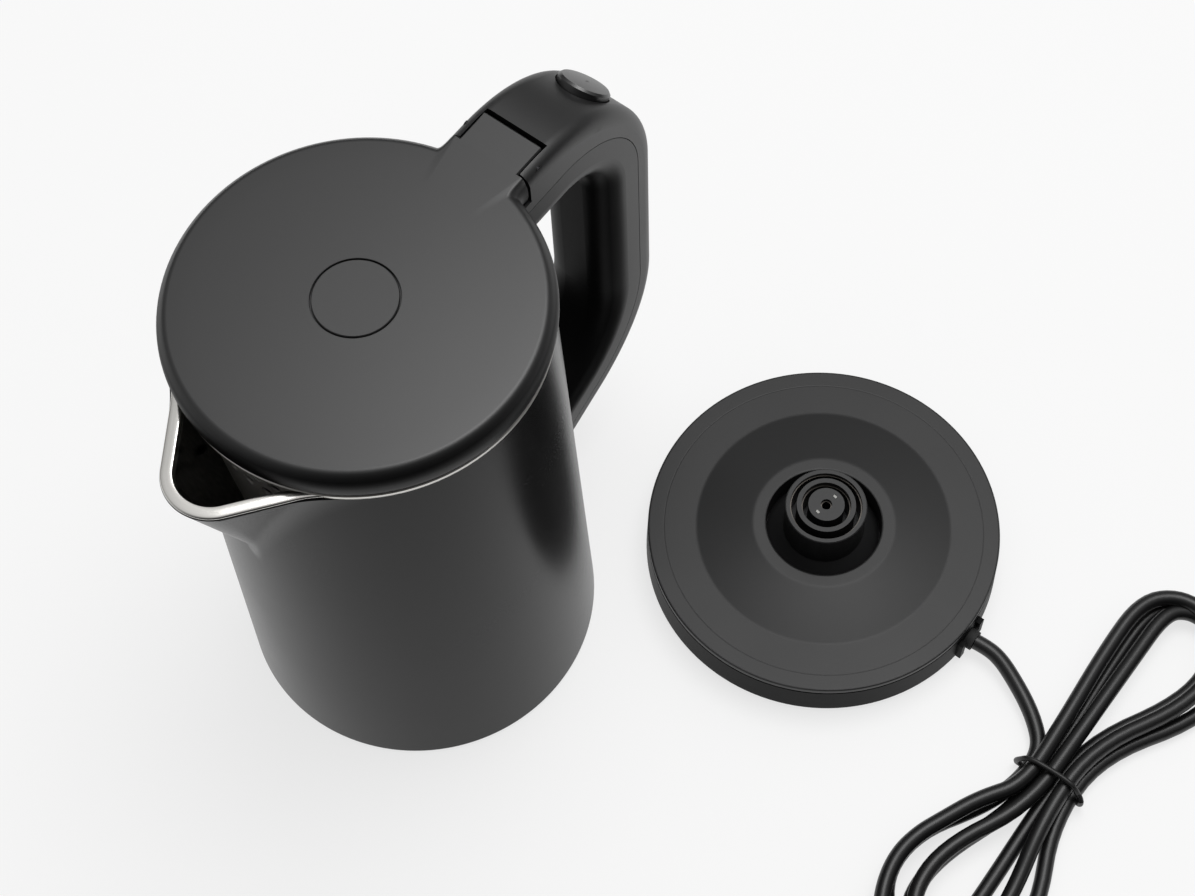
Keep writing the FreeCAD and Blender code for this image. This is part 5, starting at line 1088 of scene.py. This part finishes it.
class BaseOperator(bpy.types.Operator):
    """Finish the power base's pieces"""

    bl_idname = "kettle.base"
    bl_label = "Finish the power base"

    finishes = {
        "base_plastic": ["cord_clamp"],
        "edge_plastic": ["base_bottom_cover"],
        "foot_rubber": ["base_feet", "strain_relief"],
        "connector_plastic": ["connector_body"],
        "contact_brass": ["connector_contacts"],
        "pin_brass": ["plug_pins"],
        "wire_sheath": ["base_wires"],
    }
    # Section of the upper moulding, from the seam over the top and back underneath: radius and height
    section = [
        (75.0, 19.3), (75.0, 21.15), (74.93, 21.5), (74.7, 21.78), (74.3, 21.9), (74.0, 21.9),
        (68.35, 21.9), (68.15, 21.9), (68.05, 21.86), (67.95, 21.86), (67.85, 21.9), (67.65, 21.9),
        (55.0, 21.9), (54.6, 21.9), (54.0, 21.95), (53.4, 22.06), (53.0, 22.14), (31.2, 26.1),
        (30.7, 26.19), (30.2, 26.26), (29.6, 26.3), (29.2, 26.3), (25.5, 26.3), (25.2, 26.3),
        (24.7, 26.1), (24.5, 25.7), (24.5, 25.4), (24.5, 14.0), (26.9, 14.0), (26.9, 23.9),
        (30.2, 23.9), (54.5, 19.2), (56.0, 19.5), (70.2, 19.5), (70.2, 16.1), (72.6, 16.1),
        (72.6, 19.3),
    ]
    # Contact tips: bearings, distance from the middle, and rings by height and half sizes
    tip_bearings = (-10.0, 170.0)
    tip_distance = 5.1
    tip_rings = ((43.2, 0.6, 0.9), (43.6, 0.6, 0.9), (43.7, 0.5, 0.8))

    def execute(self, context):
        dress_nodes(self.finishes)
        self.cover()
        self.tips()
        return {"FINISHED"}

    def cover(self):
        """Upper moulding with its cone, well and one fine turned line"""
        x, y = BASE_CENTRE
        angles = spaced(0, 2 * math.pi, 192)[:-1]
        rings = [[(x + radius * math.cos(angle), y + radius * math.sin(angle), z) for angle in angles]
                 for radius, z in self.section]
        cover = skin("base_cover", rings, "loop", sharp=30.0)
        piece(cover, "power_base", "base_plastic", "base_top_cover")

    def tips(self):
        """Two bright contact tips let into the connector's post"""
        parts = []
        for bearing in self.tip_bearings:
            swing = math.radians(bearing)
            along = Vector((math.cos(swing), math.sin(swing)))
            side = Vector((-along.y, along.x))
            middle = Vector(BASE_CENTRE) + self.tip_distance * along
            rings = []
            for z, long, wide in self.tip_rings:
                spots = [middle + a * long * along + b * wide * side for a, b in SQUARE]
                rings.append([(spot.x, spot.y, z) for spot in spots])
            parts.append(skin("contact_tip", rings))
        piece(joined("contact_tips", parts), "power_base", "fixing_steel", finish="tinned_tip")


OPERATORS = (StageOperator, ShellOperator, BeakOperator, LidOperator, LeadOperator, FixingsOperator,
             KettleOperator, BaseOperator)


class KettlePanel(bpy.types.Panel):
    """Steps of the kettle in the sidebar"""

    bl_idname = "VIEW3D_PT_kettle"
    bl_label = "Kettle"
    bl_space_type = "VIEW_3D"
    bl_region_type = "UI"
    bl_category = "Kettle"

    def draw(self, context):
        for step in OPERATORS:
            self.layout.operator(step.bl_idname)


CLASSES = (KettleSizes, KettleFinishes, KettleStage) + OPERATORS + (KettlePanel,)


def register():
    for cls in CLASSES:
        bpy.utils.register_class(cls)
    bpy.types.Scene.kettle_sizes = bpy.props.PointerProperty(type=KettleSizes)
    bpy.types.Scene.kettle_finishes = bpy.props.PointerProperty(type=KettleFinishes)
    bpy.types.Scene.kettle_stage = bpy.props.PointerProperty(type=KettleStage)


def unregister():
    del bpy.types.Scene.kettle_stage
    del bpy.types.Scene.kettle_finishes
    del bpy.types.Scene.kettle_sizes
    for cls in reversed(CLASSES):
        bpy.utils.unregister_class(cls)


def main():
    register()
    bpy.ops.kettle.stage()
    bpy.ops.kettle.shell()
    bpy.ops.kettle.beak()
    bpy.ops.kettle.lid()
    bpy.ops.kettle.lead()
    bpy.ops.kettle.fixings()
    bpy.ops.kettle.body()
    bpy.ops.kettle.base()


if __name__ == "__main__":
    main()
